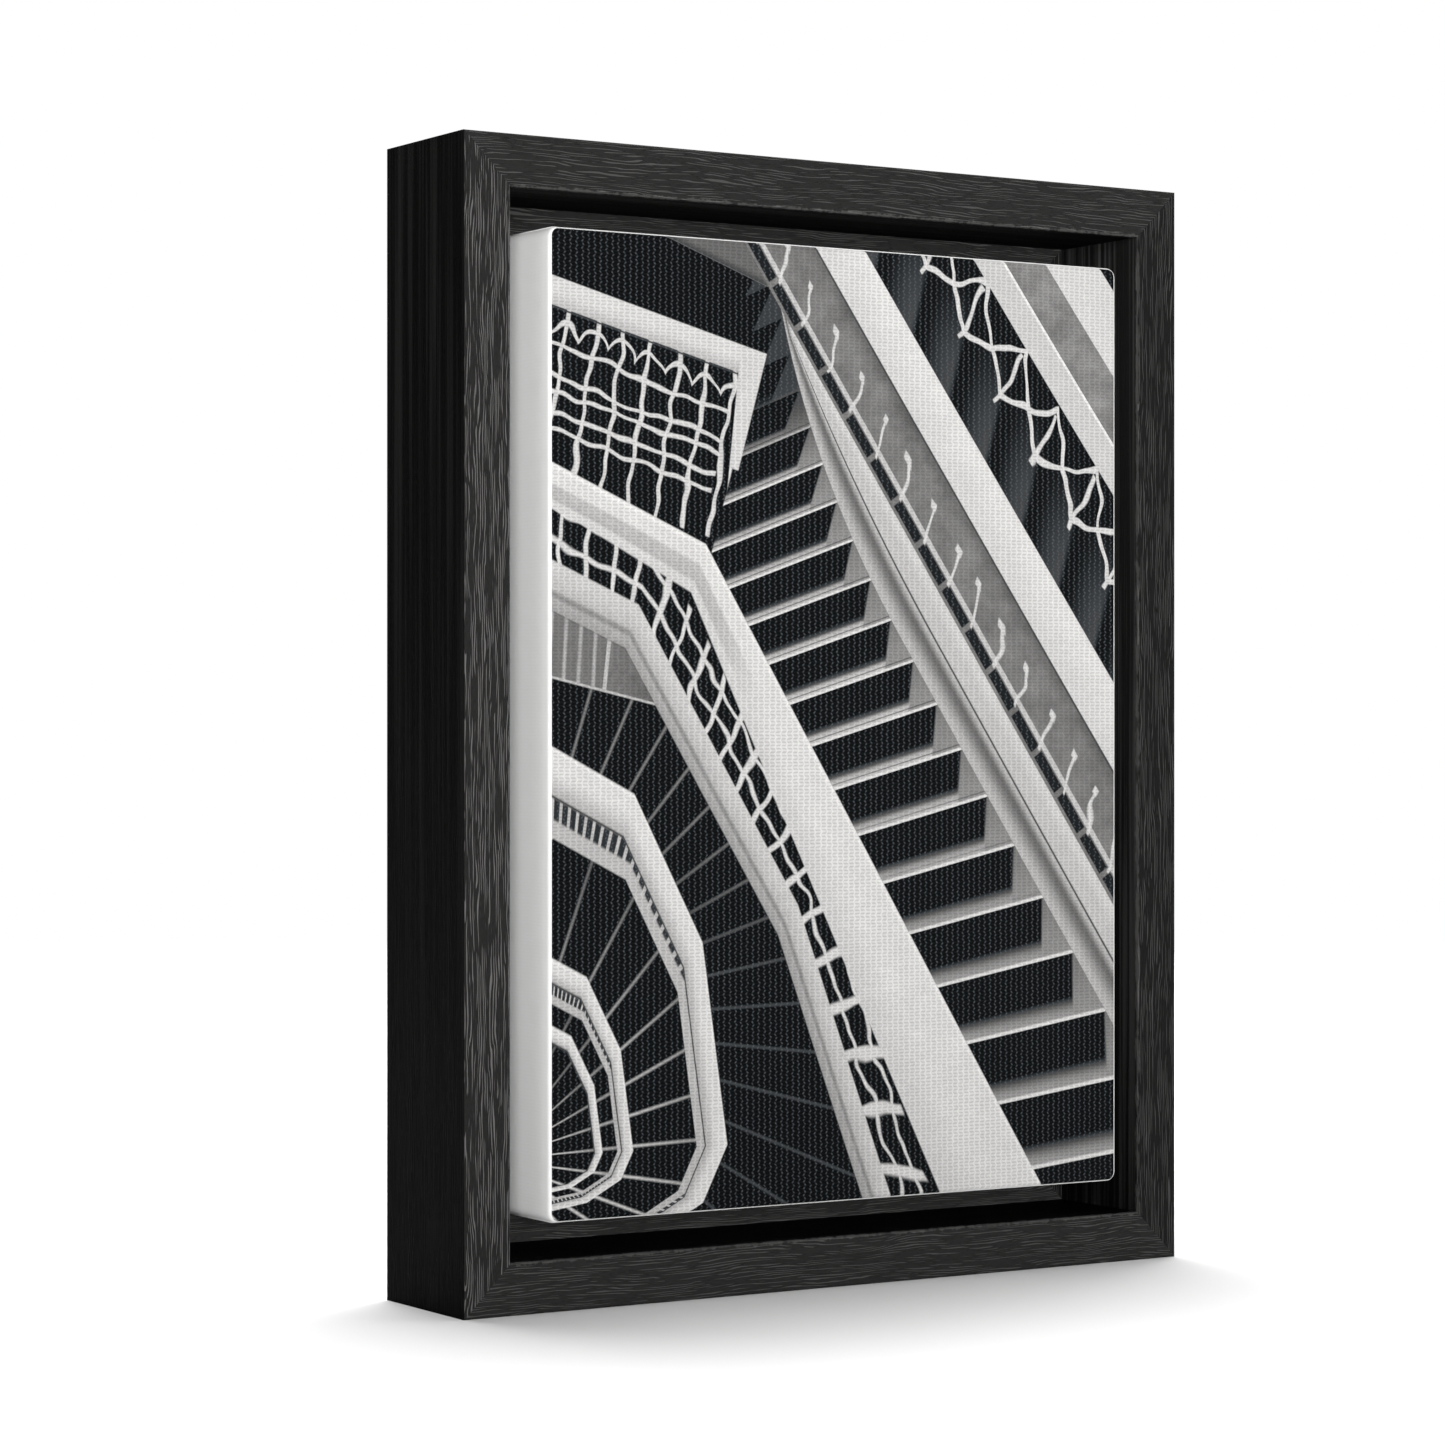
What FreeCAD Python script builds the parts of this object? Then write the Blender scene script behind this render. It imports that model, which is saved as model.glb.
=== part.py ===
"""A gallery-wrapped canvas held in a wooden floater frame.

The picture faces -Y, +X is to its right and +Z is up. The model stands on its bottom edge: the
origin is the middle of that edge, at half the model's depth.

Four mitred L-shaped mouldings make the frame. Their inner legs, the ledges, pass behind the canvas
and are screwed to it, and their outer legs leave an even gap all round it. The canvas is one cloth,
folded over four tongued stretcher bars and stapled behind them.

Most pieces are drawn about the middle of the picture, with y = 0 on the frame's back. Small
fasteners are drawn about their own axis. Each body's Placement then puts it where it belongs.
"""
import FreeCAD
import Part
import Sketcher
import math
import os

SIZES = {
    # the canvas, outside the cloth
    "canvas_width": 127.0,
    "canvas_height": 177.8,
    "cloth_thickness": 0.5,
    "cloth_corner_radius": 1.8,
    "cloth_edge_radius": 0.8,
    "flap_margin": 1.5,
    # the stretcher bars under it
    "bar_width": 19.0,
    "bar_depth": 25.4,
    "bar_lip": 3.5,
    "bar_bevel": 3.0,
    "bar_nose_radius": 0.8,
    "tongue_thickness": 7.0,
    "tongue_setback": 0.7,
    "tongue_clearance": 0.1,
    # the frame moulding
    "float_gap": 6.7,
    "face_width": 9.5,
    "frame_depth": 29.5,
    "ledge_thickness": 5.0,
    "bar_strip_clear_of_ledge": 8.5,
    "inner_lip_radius": 0.65,
    "outer_edge_radius": 0.4,
    # wedge nails across the frame's mitres
    "wedge_leg": 6.0,
    "wedge_sheet": 0.5,
    "wedge_height": 10.0,
    "wedge_inset": 3.0,
    "wedge_step": 3.6,
    # staples in the flaps
    "staple_crown": 10.0,
    "staple_leg": 6.0,
    "staple_wire": 0.5,
    "staple_wire_width": 1.2,
    "staple_to_flap_edge": 3.5,
    "staple_end_margin": 30.0,
    # screws through the ledge into the bars
    "screw_shank": 3.5,
    "screw_head": 7.0,
    "screw_length": 16.0,
    "screw_point": 3.0,
    "screw_inset": 24.0,
    "screw_hole": 4.0,
    "screw_head_clearance": 0.1,
    "recess_arm": 1.0,
    "recess_span": 3.6,
    "recess_sink": 1.5,
    # sawtooth hanger and its nails
    "hanger_length": 45.0,
    "hanger_height": 7.6,
    "hanger_sheet": 0.8,
    "hanger_raise": 1.4,
    "hanger_tab": 6.5,
    "hanger_slope": 2.0,
    "hanger_drop": 4.9,
    "tooth_pitch": 3.0,
    "tooth_height": 1.6,
    "nail_shank": 1.4,
    "nail_head": 3.2,
    "nail_head_thickness": 0.6,
    "nail_length": 9.0,
    "nail_point": 2.0,
    "nail_hole": 1.7,
    # bumpers that keep the frame off the wall
    "bumper_diameter": 9.5,
    "bumper_height": 2.5,
    "bumper_edge": 1.2,
    "bumper_inset": 13.5,
}
TOOTH_COUNT = 9
STAPLES_ON_SHORT_SIDE = 3
STAPLES_ON_LONG_SIDE = 4
WEDGES_PER_CORNER = 2
OVERSHOOT = 1.0  # how far a cutting outline runs past the piece it cuts
TOLERANCE = 0.01  # two lengths this close are the same

# Places worked out from the sizes, as expressions for the document to keep.
CANVAS_X = "Sizes.canvas_width / 2"
CANVAS_Z = "Sizes.canvas_height / 2"
BORDER = "(Sizes.float_gap + Sizes.face_width)"
OUTER_X = f"({CANVAS_X} + {BORDER})"
OUTER_Z = f"({CANVAS_Z} + {BORDER})"
BAR_TO_CLOTH_EDGE = "(Sizes.bar_width + Sizes.cloth_thickness)"
LEDGE_OVERLAP = f"({BAR_TO_CLOTH_EDGE} - Sizes.bar_strip_clear_of_ledge)"
FLAP_WIDTH = f"({BAR_TO_CLOTH_EDGE} - Sizes.flap_margin)"
MOULDING_WIDTH = f"({BORDER} + {LEDGE_OVERLAP})"
BAR_X = f"({CANVAS_X} - Sizes.cloth_thickness)"
BAR_Z = f"({CANVAS_Z} - Sizes.cloth_thickness)"
BAR_BACK = "(-Sizes.ledge_thickness - Sizes.cloth_thickness)"
BAR_FRONT = f"({BAR_BACK} - Sizes.bar_depth)"
BAR_CORNER = "(Sizes.cloth_corner_radius - Sizes.cloth_thickness)"
CLOTH_BACK = "(-Sizes.ledge_thickness)"
CLOTH_FRONT = f"({BAR_FRONT} - Sizes.cloth_thickness)"
TONGUE_MIDDLE = f"({BAR_BACK} - Sizes.bar_depth / 2)"
SCREW_X = f"({CANVAS_X} - Sizes.screw_inset)"
SCREW_Z = f"({CANVAS_Z} - {LEDGE_OVERLAP} / 2)"
NAIL_X = "(Sizes.hanger_length / 2 - Sizes.hanger_tab / 2)"
HANGER_Z = f"({OUTER_Z} - Sizes.hanger_drop)"
ORIGIN_Y = f"((-{CLOTH_FRONT} - Sizes.bumper_height) / 2)"

doc = FreeCAD.newDocument("FloatFramedCanvas")
sheet = doc.addObject("Spreadsheet::Sheet", "Sizes")
for row, (alias, size) in enumerate(SIZES.items(), start=1):
    sheet.set(f"A{row}", alias)
    sheet.set(f"B{row}", str(size))
    sheet.setAlias(f"B{row}", alias)
doc.recompute()
sub_parts = []


def value(expression):
    """The number that an expression of sizes stands for."""
    return float(sheet.evalExpression(expression))


def new_body(name, x="0", y="0", z="0"):
    """A sub-part whose own origin lies at x, y, z from the middle of the frame's back."""
    body = doc.addObject("PartDesign::Body", name)
    body.Label = name
    body.setExpression("Placement.Base.x", x)
    body.setExpression("Placement.Base.y", f"{ORIGIN_Y} + {y}")
    body.setExpression("Placement.Base.z", f"{OUTER_Z} + {z}")
    sub_parts.append(body)
    return body


def new_sketch(body, plane, offset="0"):
    """A sketch on one of the body's own planes, moved along the plane's normal."""
    sketch = body.newObject("Sketcher::SketchObject", f"{body.Name}_sketch")
    support = [item for item in body.Origin.OriginFeatures if item.Role == plane][0]
    sketch.AttachmentSupport = [(support, "")]
    sketch.MapMode = "FlatFace"
    sketch.setExpression("AttachmentOffset.Base.z", offset)
    return sketch


def hold(sketch, kind, geometry, point, expression):
    """Keep a point of the sketch at a distance, given by an expression, from its origin."""
    rule = Sketcher.Constraint(kind, -1, 1, geometry, point, value(expression))
    index = sketch.addConstraint(rule)
    sketch.setExpression(f"Constraints[{index}]", expression)


def outline(sketch, points):
    """A closed outline of straight lines through points whose places are expressions."""
    places = [FreeCAD.Vector(value(across), value(up), 0) for across, up in points]
    count = len(places)
    first = sketch.GeometryCount
    for index in range(count):
        line = Part.LineSegment(places[index], places[(index + 1) % count])
        sketch.addGeometry(line, False)
    for index in range(count):
        following = first + (index + 1) % count
        sketch.addConstraint(Sketcher.Constraint("Coincident", first + index, 2, following, 1))
    for index, (across, up) in enumerate(points):
        hold(sketch, "DistanceX", first + index, 1, across)
        hold(sketch, "DistanceY", first + index, 1, up)


def circle(sketch, across, up, diameter):
    """A circle about a point whose place is given by expressions."""
    centre = FreeCAD.Vector(value(across), value(up), 0)
    index = sketch.GeometryCount
    sketch.addGeometry(Part.Circle(centre, FreeCAD.Vector(0, 0, 1), value(diameter) / 2), False)
    hold(sketch, "DistanceX", index, 3, across)
    hold(sketch, "DistanceY", index, 3, up)
    rule = sketch.addConstraint(Sketcher.Constraint("Diameter", index, value(diameter)))
    sketch.setExpression(f"Constraints[{rule}]", diameter)


def rectangle(sketch, low_across, high_across, low_up, high_up):
    """A rectangle between two corners."""
    corners = [
        (low_across, low_up),
        (high_across, low_up),
        (high_across, high_up),
        (low_across, high_up),
    ]
    outline(sketch, corners)


def pad(body, sketch, length, middle=False, backwards=False):
    """Extrude a sketch, along its normal unless backwards, or to both sides of it."""
    feature = body.newObject("PartDesign::Pad", f"{body.Name}_pad")
    feature.Profile = sketch
    feature.setExpression("Length", length)
    feature.Midplane = middle
    feature.Reversed = backwards
    return feature


def cut_through(body, sketch):
    """Cut a sketch's outlines out of the whole body, to both sides of the sketch."""
    feature = body.newObject("PartDesign::Pocket", f"{body.Name}_cut")
    feature.Profile = sketch
    feature.Type = "ThroughAll"
    feature.Midplane = True
    return feature


def cut_blind(body, sketch, depth, middle=False):
    """Cut a sketch's outlines forward, towards -Y, to a depth, or to both sides of it."""
    feature = body.newObject("PartDesign::Pocket", f"{body.Name}_pocket")
    feature.Profile = sketch
    feature.setExpression("Length", depth)
    feature.Midplane = middle
    feature.Reversed = not middle
    return feature


def revolve(body, sketch):
    """Turn a sketch on the XY plane about the body's Y axis."""
    feature = body.newObject("PartDesign::Revolution", f"{body.Name}_turned")
    feature.Profile = sketch
    feature.ReferenceAxis = (sketch, ["V_Axis"])
    feature.Angle = 360
    return feature


def dress(body, base, kind, size_name, size, keep):
    """Fillet or chamfer the edges of the feature base that the test keep chooses."""
    doc.recompute()
    edges = [f"Edge{i}" for i, edge in enumerate(base.Shape.Edges, start=1) if keep(edge)]
    if not edges:
        raise RuntimeError(f"{body.Label} has no edge for {kind}")
    feature = body.newObject(f"PartDesign::{kind}", f"{body.Name}_{kind.lower()}")
    feature.Base = (base, edges)
    feature.setExpression(size_name, size)
    return feature


def near(first, second):
    """Whether two lengths are the same."""
    return abs(first - second) < TOLERANCE


def edge_along(axis, **places):
    """A test for edges parallel to an axis that pass through the places given, such as Y=3."""

    def keep(edge):
        box = edge.BoundBox
        if len(edge.Vertexes) != 2 or near(getattr(box, f"{axis}Length"), 0):
            return False
        for name, place in places.items():
            if not near(getattr(box, f"{name}Length"), 0):
                return False
            if not near(abs(getattr(box, f"{name}Min")), abs(place)):
                return False
        return True

    return keep


def member(name, side, outer_x, outer_z, profile, rounds):
    """A straight member with mitred ends, on one side of a rectangle about the middle.

    profile gives the section's points as (distance in from the outer edge, y). rounds lists
    (distance in, y, radius) for the long edges that are rounded before the mitres are cut.
    """
    body = new_body(name)
    level = side in ("top", "bottom")
    sign = 1 if side in ("top", "right") else -1
    reach = outer_z if level else outer_x
    half_length = outer_x if level else outer_z
    section = new_sketch(body, "YZ_Plane" if level else "XY_Plane")
    points = []
    for inward, depth in profile:
        place = f"{sign} * ({reach} - ({inward}))"
        points.append((depth, place) if level else (place, depth))
    outline(section, points)
    last = pad(body, section, f"2 * {half_length}", middle=True)
    for inward, depth, radius in rounds:
        across = value(f"{reach} - ({inward})")
        axis = "X" if level else "Z"
        places = {"Y": value(depth), "Z" if level else "X": across}
        last = dress(body, last, "Fillet", "Radius", radius, edge_along(axis, **places))
    return body, level, sign


def cut_mitres(body, level, sign, outer_x, outer_z, width):
    """Cut both ends of a member at 45 degrees."""
    sketch = new_sketch(body, "XZ_Plane")
    for end in (-1, 1):
        tip = (f"{outer_x} + {OVERSHOOT}", f"{outer_z} + {OVERSHOOT}")
        root = (f"{outer_x} - {width} - {OVERSHOOT}", f"{outer_z} - {width} - {OVERSHOOT}")
        third = (tip[0], root[1]) if level else (root[0], tip[1])
        x_sign, z_sign = (end, sign) if level else (sign, end)
        outline(sketch, [(f"{x_sign} * ({x})", f"{z_sign} * ({z})") for x, z in (tip, third, root)])
    cut_through(body, sketch)


def frame_member(name, side, screwed):
    """One L-shaped moulding of the frame, with countersunk screw holes in its ledge if screwed."""
    ledge_front = "(-Sizes.ledge_thickness)"
    face = "(-Sizes.frame_depth)"
    profile = [
        ("0", "0"),
        ("0", face),
        ("Sizes.face_width", face),
        ("Sizes.face_width", ledge_front),
        (MOULDING_WIDTH, ledge_front),
        (MOULDING_WIDTH, "0"),
    ]
    rounds = [
        ("Sizes.face_width", face, "Sizes.inner_lip_radius"),
        ("0", face, "Sizes.outer_edge_radius"),
    ]
    body, level, sign = member(name, side, OUTER_X, OUTER_Z, profile, rounds)
    cut_mitres(body, level, sign, OUTER_X, OUTER_Z, MOULDING_WIDTH)
    if screwed:
        holes = new_sketch(body, "XZ_Plane")
        for end in (-1, 1):
            circle(holes, f"{end} * {SCREW_X}", f"{sign} * {SCREW_Z}", "Sizes.screw_hole")
        drilled = cut_through(body, holes)
        sink = "Sizes.screw_head / 2 + Sizes.screw_head_clearance - Sizes.screw_hole / 2"
        dress(body, drilled, "Chamfer", "Size", sink, is_rear_circle)


def is_rear_circle(edge):
    """Whether an edge is a round hole's mouth in the frame's back."""
    return edge.Curve.TypeId == "Part::GeomCircle" and near(edge.CenterOfMass.y, 0)


def stretcher_bar(name, side):
    """One stretcher bar: a rounded lip under the cloth's edge and a bevel behind the picture.

    The upright bars end in tongues and the level bars in slots, so each corner is a mitred
    bridle joint that shows as a plain mitre.
    """
    profile = [
        ("0", BAR_BACK),
        ("0", BAR_FRONT),
        ("Sizes.bar_lip", BAR_FRONT),
        ("Sizes.bar_width", f"{BAR_FRONT} + Sizes.bar_bevel"),
        ("Sizes.bar_width", BAR_BACK),
    ]
    rounds = [("0", BAR_FRONT, "Sizes.bar_nose_radius")]
    body, level, sign = member(name, side, BAR_X, BAR_Z, profile, rounds)
    cut_mitres(body, level, sign, BAR_X, BAR_Z, "Sizes.bar_width")
    ease_corners(body, level, sign)
    joint = new_sketch(body, "XZ_Plane", f"-({TONGUE_MIDDLE})")
    inner_x = f"({BAR_X} - Sizes.bar_width)"
    inner_z = f"({BAR_Z} - Sizes.bar_width)"
    for end in (-1, 1):
        if level:
            slot_end = f"{end} * ({inner_x} - Sizes.tongue_clearance)"
            slot_mouth = f"{end} * ({BAR_X} + {OVERSHOOT})"
            low = f"{sign} * ({inner_z} - {OVERSHOOT})"
            high = f"{sign} * ({BAR_Z} + {OVERSHOOT})"
            rectangle(joint, slot_end, slot_mouth, low, high)
        else:
            near_x = f"{sign} * {inner_x}"
            far_x = f"{sign} * ({BAR_X} - Sizes.tongue_setback)"
            near_z = f"{end} * {inner_z}"
            far_z = f"{end} * ({BAR_Z} - Sizes.tongue_setback)"
            outline(joint, [(near_x, near_z), (near_x, far_z), (far_x, far_z)])
    if level:
        slot = "Sizes.tongue_thickness + 2 * Sizes.tongue_clearance"
        cut_blind(body, joint, slot, middle=True)
    else:
        pad(body, joint, "Sizes.tongue_thickness", middle=True)


def ease_corners(body, level, sign):
    """Cut the sharp tips off a bar's mitres, so that the cloth turns the corner on a curve."""
    sketch = new_sketch(body, "XZ_Plane")
    for end in (-1, 1):
        x_sign, z_sign = (end, sign) if level else (sign, end)
        past_x = f"{x_sign} * ({BAR_X} + {OVERSHOOT})"
        past_z = f"{z_sign} * ({BAR_Z} + {OVERSHOOT})"
        start_x = f"{x_sign} * ({BAR_X} - {BAR_CORNER} - {OVERSHOOT})"
        start_z = f"{z_sign} * ({BAR_Z} - {BAR_CORNER} - {OVERSHOOT})"
        outline(sketch, [(past_x, past_z), (start_x, past_z), (past_x, start_z)])
    cut_through(body, sketch)


def box_with_round_corners(body, half_x, half_z, back, depth, radius, hollow):
    """A box from the plane y = back forward, its four corners rounded, added or taken away."""
    sketch = new_sketch(body, "XZ_Plane", f"-({back})")
    rounded_rectangle(sketch, half_x, half_z, radius)
    if hollow:
        return cut_blind(body, sketch, depth)
    return pad(body, sketch, depth)


def rounded_rectangle(sketch, half_across, half_up, radius):
    """A rectangle about the sketch's origin with arcs for corners."""
    wide, tall, round_ = value(half_across), value(half_up), value(radius)
    quarter = math.pi / 2
    corners = [(1, 1), (-1, 1), (-1, -1), (1, -1)]
    for turn, (right, up) in enumerate(corners):
        centre = FreeCAD.Vector(right * (wide - round_), up * (tall - round_), 0)
        ring = Part.Circle(centre, FreeCAD.Vector(0, 0, 1), round_)
        sketch.addGeometry(Part.ArcOfCircle(ring, turn * quarter, (turn + 1) * quarter), False)
        hold(sketch, "DistanceX", turn, 3, f"{right} * ({half_across} - {radius})")
        hold(sketch, "DistanceY", turn, 3, f"{up} * ({half_up} - {radius})")
    for turn in range(4):
        after = (turn + 1) % 4
        start = sketch.getPoint(turn, 2)
        stop = sketch.getPoint(after, 1)
        line = sketch.addGeometry(Part.LineSegment(start, stop), False)
        sketch.addConstraint(Sketcher.Constraint("Tangent", turn, 2, line, 1))
        sketch.addConstraint(Sketcher.Constraint("Tangent", line, 2, after, 1))
    rule = sketch.addConstraint(Sketcher.Constraint("Radius", 0, round_))
    sketch.setExpression(f"Constraints[{rule}]", radius)
    for turn in range(1, 4):
        sketch.addConstraint(Sketcher.Constraint("Equal", 0, turn))


def canvas_cloth(name):
    """The cloth: its front, its four sides and the flaps folded on to the bars' backs."""
    body = new_body(name)
    depth = f"(-{CLOTH_FRONT} + {CLOTH_BACK})"
    radius = "Sizes.cloth_corner_radius"
    block = box_with_round_corners(body, CANVAS_X, CANVAS_Z, CLOTH_BACK, depth, radius, False)
    front = value(CLOTH_FRONT)
    dress(
        body,
        block,
        "Fillet",
        "Radius",
        "Sizes.cloth_edge_radius",
        lambda edge: near(edge.BoundBox.YMin, front) and near(edge.BoundBox.YMax, front),
    )
    box_with_round_corners(body, BAR_X, BAR_Z, BAR_BACK, "Sizes.bar_depth", BAR_CORNER, True)
    window = new_sketch(body, "XZ_Plane", f"-({CLOTH_BACK})")
    window_x = f"({CANVAS_X} - {FLAP_WIDTH})"
    window_z = f"({CANVAS_Z} - {FLAP_WIDTH})"
    rectangle(window, f"-{window_x}", window_x, f"-{window_z}", window_z)
    cut_blind(body, window, f"Sizes.cloth_thickness + {OVERSHOOT}")


def wedge_nails(name, x_sign, z_sign):
    """The V-shaped nails driven from behind across one mitre of the frame."""
    body = new_body(name)
    sketch = new_sketch(body, "XZ_Plane")
    for index in range(WEDGES_PER_CORNER):
        inset = f"(Sizes.wedge_inset + {index} * Sizes.wedge_step)"
        ends = ("0", "Sizes.wedge_sheet", "Sizes.wedge_leg")
        x_out, x_mid, x_far = [f"{x_sign} * ({OUTER_X} - {inset} - {end})" for end in ends]
        z_out, z_mid, z_far = [f"{z_sign} * ({OUTER_Z} - {inset} - {end})" for end in ends]
        points = [
            (x_out, z_out),
            (x_out, z_far),
            (x_mid, z_far),
            (x_mid, z_mid),
            (x_far, z_mid),
            (x_far, z_out),
        ]
        outline(sketch, points)
    pad(body, sketch, "Sizes.wedge_height")


def staple_row(name, side, count):
    """The staples along one side, through the flap into the bar, with their crowns on the flap."""
    body = new_body(name)
    level = side in ("top", "bottom")
    sign = 1 if side in ("top", "right") else -1
    reach = CANVAS_Z if level else CANVAS_X
    half_side = CANVAS_X if level else CANVAS_Z
    offset = f"{sign} * ({reach} - {FLAP_WIDTH} + Sizes.staple_to_flap_edge)"
    sketch = new_sketch(body, "XY_Plane" if level else "YZ_Plane", offset)
    crown = f"({CLOTH_BACK} + Sizes.staple_wire)"
    tips = f"({CLOTH_BACK} - Sizes.staple_leg)"
    first = f"({half_side} - Sizes.staple_end_margin)"
    for index in range(count):
        middle = f"({first} * (2 * {index} / {count - 1} - 1))"
        left = f"({middle} - Sizes.staple_crown / 2)"
        right = f"({middle} + Sizes.staple_crown / 2)"
        bent = [
            (left, crown),
            (right, crown),
            (right, tips),
            (f"{right} - Sizes.staple_wire", tips),
            (f"{right} - Sizes.staple_wire", CLOTH_BACK),
            (f"{left} + Sizes.staple_wire", CLOTH_BACK),
            (f"{left} + Sizes.staple_wire", tips),
            (left, tips),
        ]
        outline(sketch, [(along, y) if level else (y, along) for along, y in bent])
    pad(body, sketch, "Sizes.staple_wire_width", middle=True)


def mounting_screw(name, x, z):
    """A countersunk screw, its head flush with the frame's back."""
    body = new_body(name, x=x, z=z)
    shank = "Sizes.screw_shank / 2"
    head = "Sizes.screw_head / 2"
    sketch = new_sketch(body, "XY_Plane")
    points = [
        ("0", "0"),
        (head, "0"),
        (shank, f"{shank} - {head}"),
        (shank, "Sizes.screw_point - Sizes.screw_length"),
        ("0", "-Sizes.screw_length"),
    ]
    outline(sketch, points)
    revolve(body, sketch)
    arm = "Sizes.recess_arm / 2"
    span = "Sizes.recess_span / 2"
    corner = [(span, arm), (arm, arm), (arm, span)]
    cross = []
    for x_sign, z_sign in ((1, 1), (-1, 1), (-1, -1), (1, -1)):
        part = [(f"{x_sign} * {a}", f"{z_sign} * {b}") for a, b in corner]
        cross += part if x_sign == z_sign else part[::-1]
    recess = new_sketch(body, "XZ_Plane")
    outline(recess, cross)
    cut_blind(body, recess, "Sizes.recess_sink")


def sawtooth_hanger(name):
    """A pressed steel strip with flat ends and a raised middle, toothed along its lower edge."""
    body = new_body(name, z=HANGER_Z)
    end = "Sizes.hanger_length / 2"
    tab = f"({end} - Sizes.hanger_tab)"
    rise = f"({tab} - Sizes.hanger_slope)"
    sheet_back = "Sizes.hanger_sheet"
    raised = "Sizes.hanger_raise"
    right = [
        (rise, raised),
        (tab, "0"),
        (end, "0"),
        (end, sheet_back),
        (tab, sheet_back),
        (rise, f"{raised} + {sheet_back}"),
    ]
    left = [(f"-{along}", depth) for along, depth in reversed(right)]
    strip = new_sketch(body, "XY_Plane")
    outline(strip, right + left)
    pad(body, strip, "Sizes.hanger_height", middle=True)
    teeth = new_sketch(body, "XZ_Plane")
    edge = "-Sizes.hanger_height / 2"
    start = f"(-{TOOTH_COUNT} / 2 * Sizes.tooth_pitch)"
    points = [(start, f"{edge} - {OVERSHOOT}")]
    for index in range(TOOTH_COUNT):
        points.append((f"{start} + {index} * Sizes.tooth_pitch", edge))
        notch = f"{start} + ({index} + 1 / 2) * Sizes.tooth_pitch"
        points.append((notch, f"{edge} + Sizes.tooth_height"))
    points.append((f"-{start}", edge))
    points.append((f"-{start}", f"{edge} - {OVERSHOOT}"))
    outline(teeth, points)
    cut_through(body, teeth)
    holes = new_sketch(body, "XZ_Plane")
    for side in (-1, 1):
        circle(holes, f"{side} * {NAIL_X}", "0", "Sizes.nail_hole")
    cut_through(body, holes)


def hanger_nail(name, side):
    """A round-headed nail through one end of the hanger."""
    body = new_body(name, x=f"{side} * {NAIL_X}", y="Sizes.hanger_sheet", z=HANGER_Z)
    shank = "Sizes.nail_shank / 2"
    head = "Sizes.nail_head / 2"
    sketch = new_sketch(body, "XY_Plane")
    points = [
        ("0", "Sizes.nail_head_thickness"),
        (head, "Sizes.nail_head_thickness"),
        (head, "0"),
        (shank, "0"),
        (shank, "Sizes.nail_point - Sizes.nail_length"),
        ("0", "-Sizes.nail_length"),
    ]
    outline(sketch, points)
    revolve(body, sketch)


def wall_bumper(name, side):
    """A soft round pad on a lower corner of the frame's back."""
    x = f"{side} * ({OUTER_X} - Sizes.bumper_inset)"
    body = new_body(name, x=x, z=f"(Sizes.bumper_inset - {OUTER_Z})")
    radius = "Sizes.bumper_diameter / 2"
    sketch = new_sketch(body, "XY_Plane")
    points = [
        ("0", "0"),
        (radius, "0"),
        (radius, "Sizes.bumper_height - Sizes.bumper_edge"),
        (f"{radius} - Sizes.bumper_edge", "Sizes.bumper_height"),
        ("0", "Sizes.bumper_height"),
    ]
    outline(sketch, points)
    revolve(body, sketch)


def check_and_write():
    """Stop if anything failed to build, then write each sub-part's shape."""
    doc.recompute()
    for item in doc.Objects:
        if "Invalid" in item.State or "Error" in item.State:
            raise RuntimeError(f"{item.Label} failed: {item.State}")
    for body in sub_parts:
        if body.Shape.isNull() or not body.Shape.isValid():
            raise RuntimeError(f"{body.Label} has no valid shape")
    os.makedirs("parts", exist_ok=True)
    for body in sub_parts:
        body.Shape.exportStep(f"parts/{body.Label}.step")


for place in ("top", "bottom"):
    frame_member(f"frame_rail_{place}", place, screwed=True)
for place in ("left", "right"):
    frame_member(f"frame_stile_{place}", place, screwed=False)
for place in ("top", "bottom", "left", "right"):
    stretcher_bar(f"stretcher_bar_{place}", place)
canvas_cloth("canvas")
for place, z_side in (("top", 1), ("bottom", -1)):
    for hand, x_side in (("left", -1), ("right", 1)):
        wedge_nails(f"wedge_nails_{place}_{hand}", x_side, z_side)
        screw_x = f"{x_side} * {SCREW_X}"
        mounting_screw(f"mounting_screw_{place}_{hand}", screw_x, f"{z_side} * {SCREW_Z}")
    staple_row(f"staples_{place}", place, STAPLES_ON_SHORT_SIDE)
for hand, x_side in (("left", -1), ("right", 1)):
    staple_row(f"staples_{hand}", hand, STAPLES_ON_LONG_SIDE)
    hanger_nail(f"hanger_nail_{hand}", x_side)
    wall_bumper(f"wall_bumper_{hand}", x_side)
sawtooth_hanger("sawtooth_hanger")
check_and_write()
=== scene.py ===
import math

import bmesh
import bpy
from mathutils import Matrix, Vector, noise


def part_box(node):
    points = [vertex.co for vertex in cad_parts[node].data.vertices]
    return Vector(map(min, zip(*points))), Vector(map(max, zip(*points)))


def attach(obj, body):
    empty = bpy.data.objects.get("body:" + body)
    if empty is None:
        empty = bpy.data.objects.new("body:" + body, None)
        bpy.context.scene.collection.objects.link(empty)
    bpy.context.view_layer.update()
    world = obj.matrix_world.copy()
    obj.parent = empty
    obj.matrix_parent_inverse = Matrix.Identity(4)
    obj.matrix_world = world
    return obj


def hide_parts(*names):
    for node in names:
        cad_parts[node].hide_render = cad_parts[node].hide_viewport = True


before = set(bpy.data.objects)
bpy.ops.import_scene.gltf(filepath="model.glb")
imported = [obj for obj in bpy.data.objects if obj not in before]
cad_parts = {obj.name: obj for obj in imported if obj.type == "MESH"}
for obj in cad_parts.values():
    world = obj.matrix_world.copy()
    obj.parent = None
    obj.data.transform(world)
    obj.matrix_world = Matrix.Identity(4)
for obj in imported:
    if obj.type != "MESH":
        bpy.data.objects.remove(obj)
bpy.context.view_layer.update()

MM = 0.001
PI = math.pi


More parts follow.
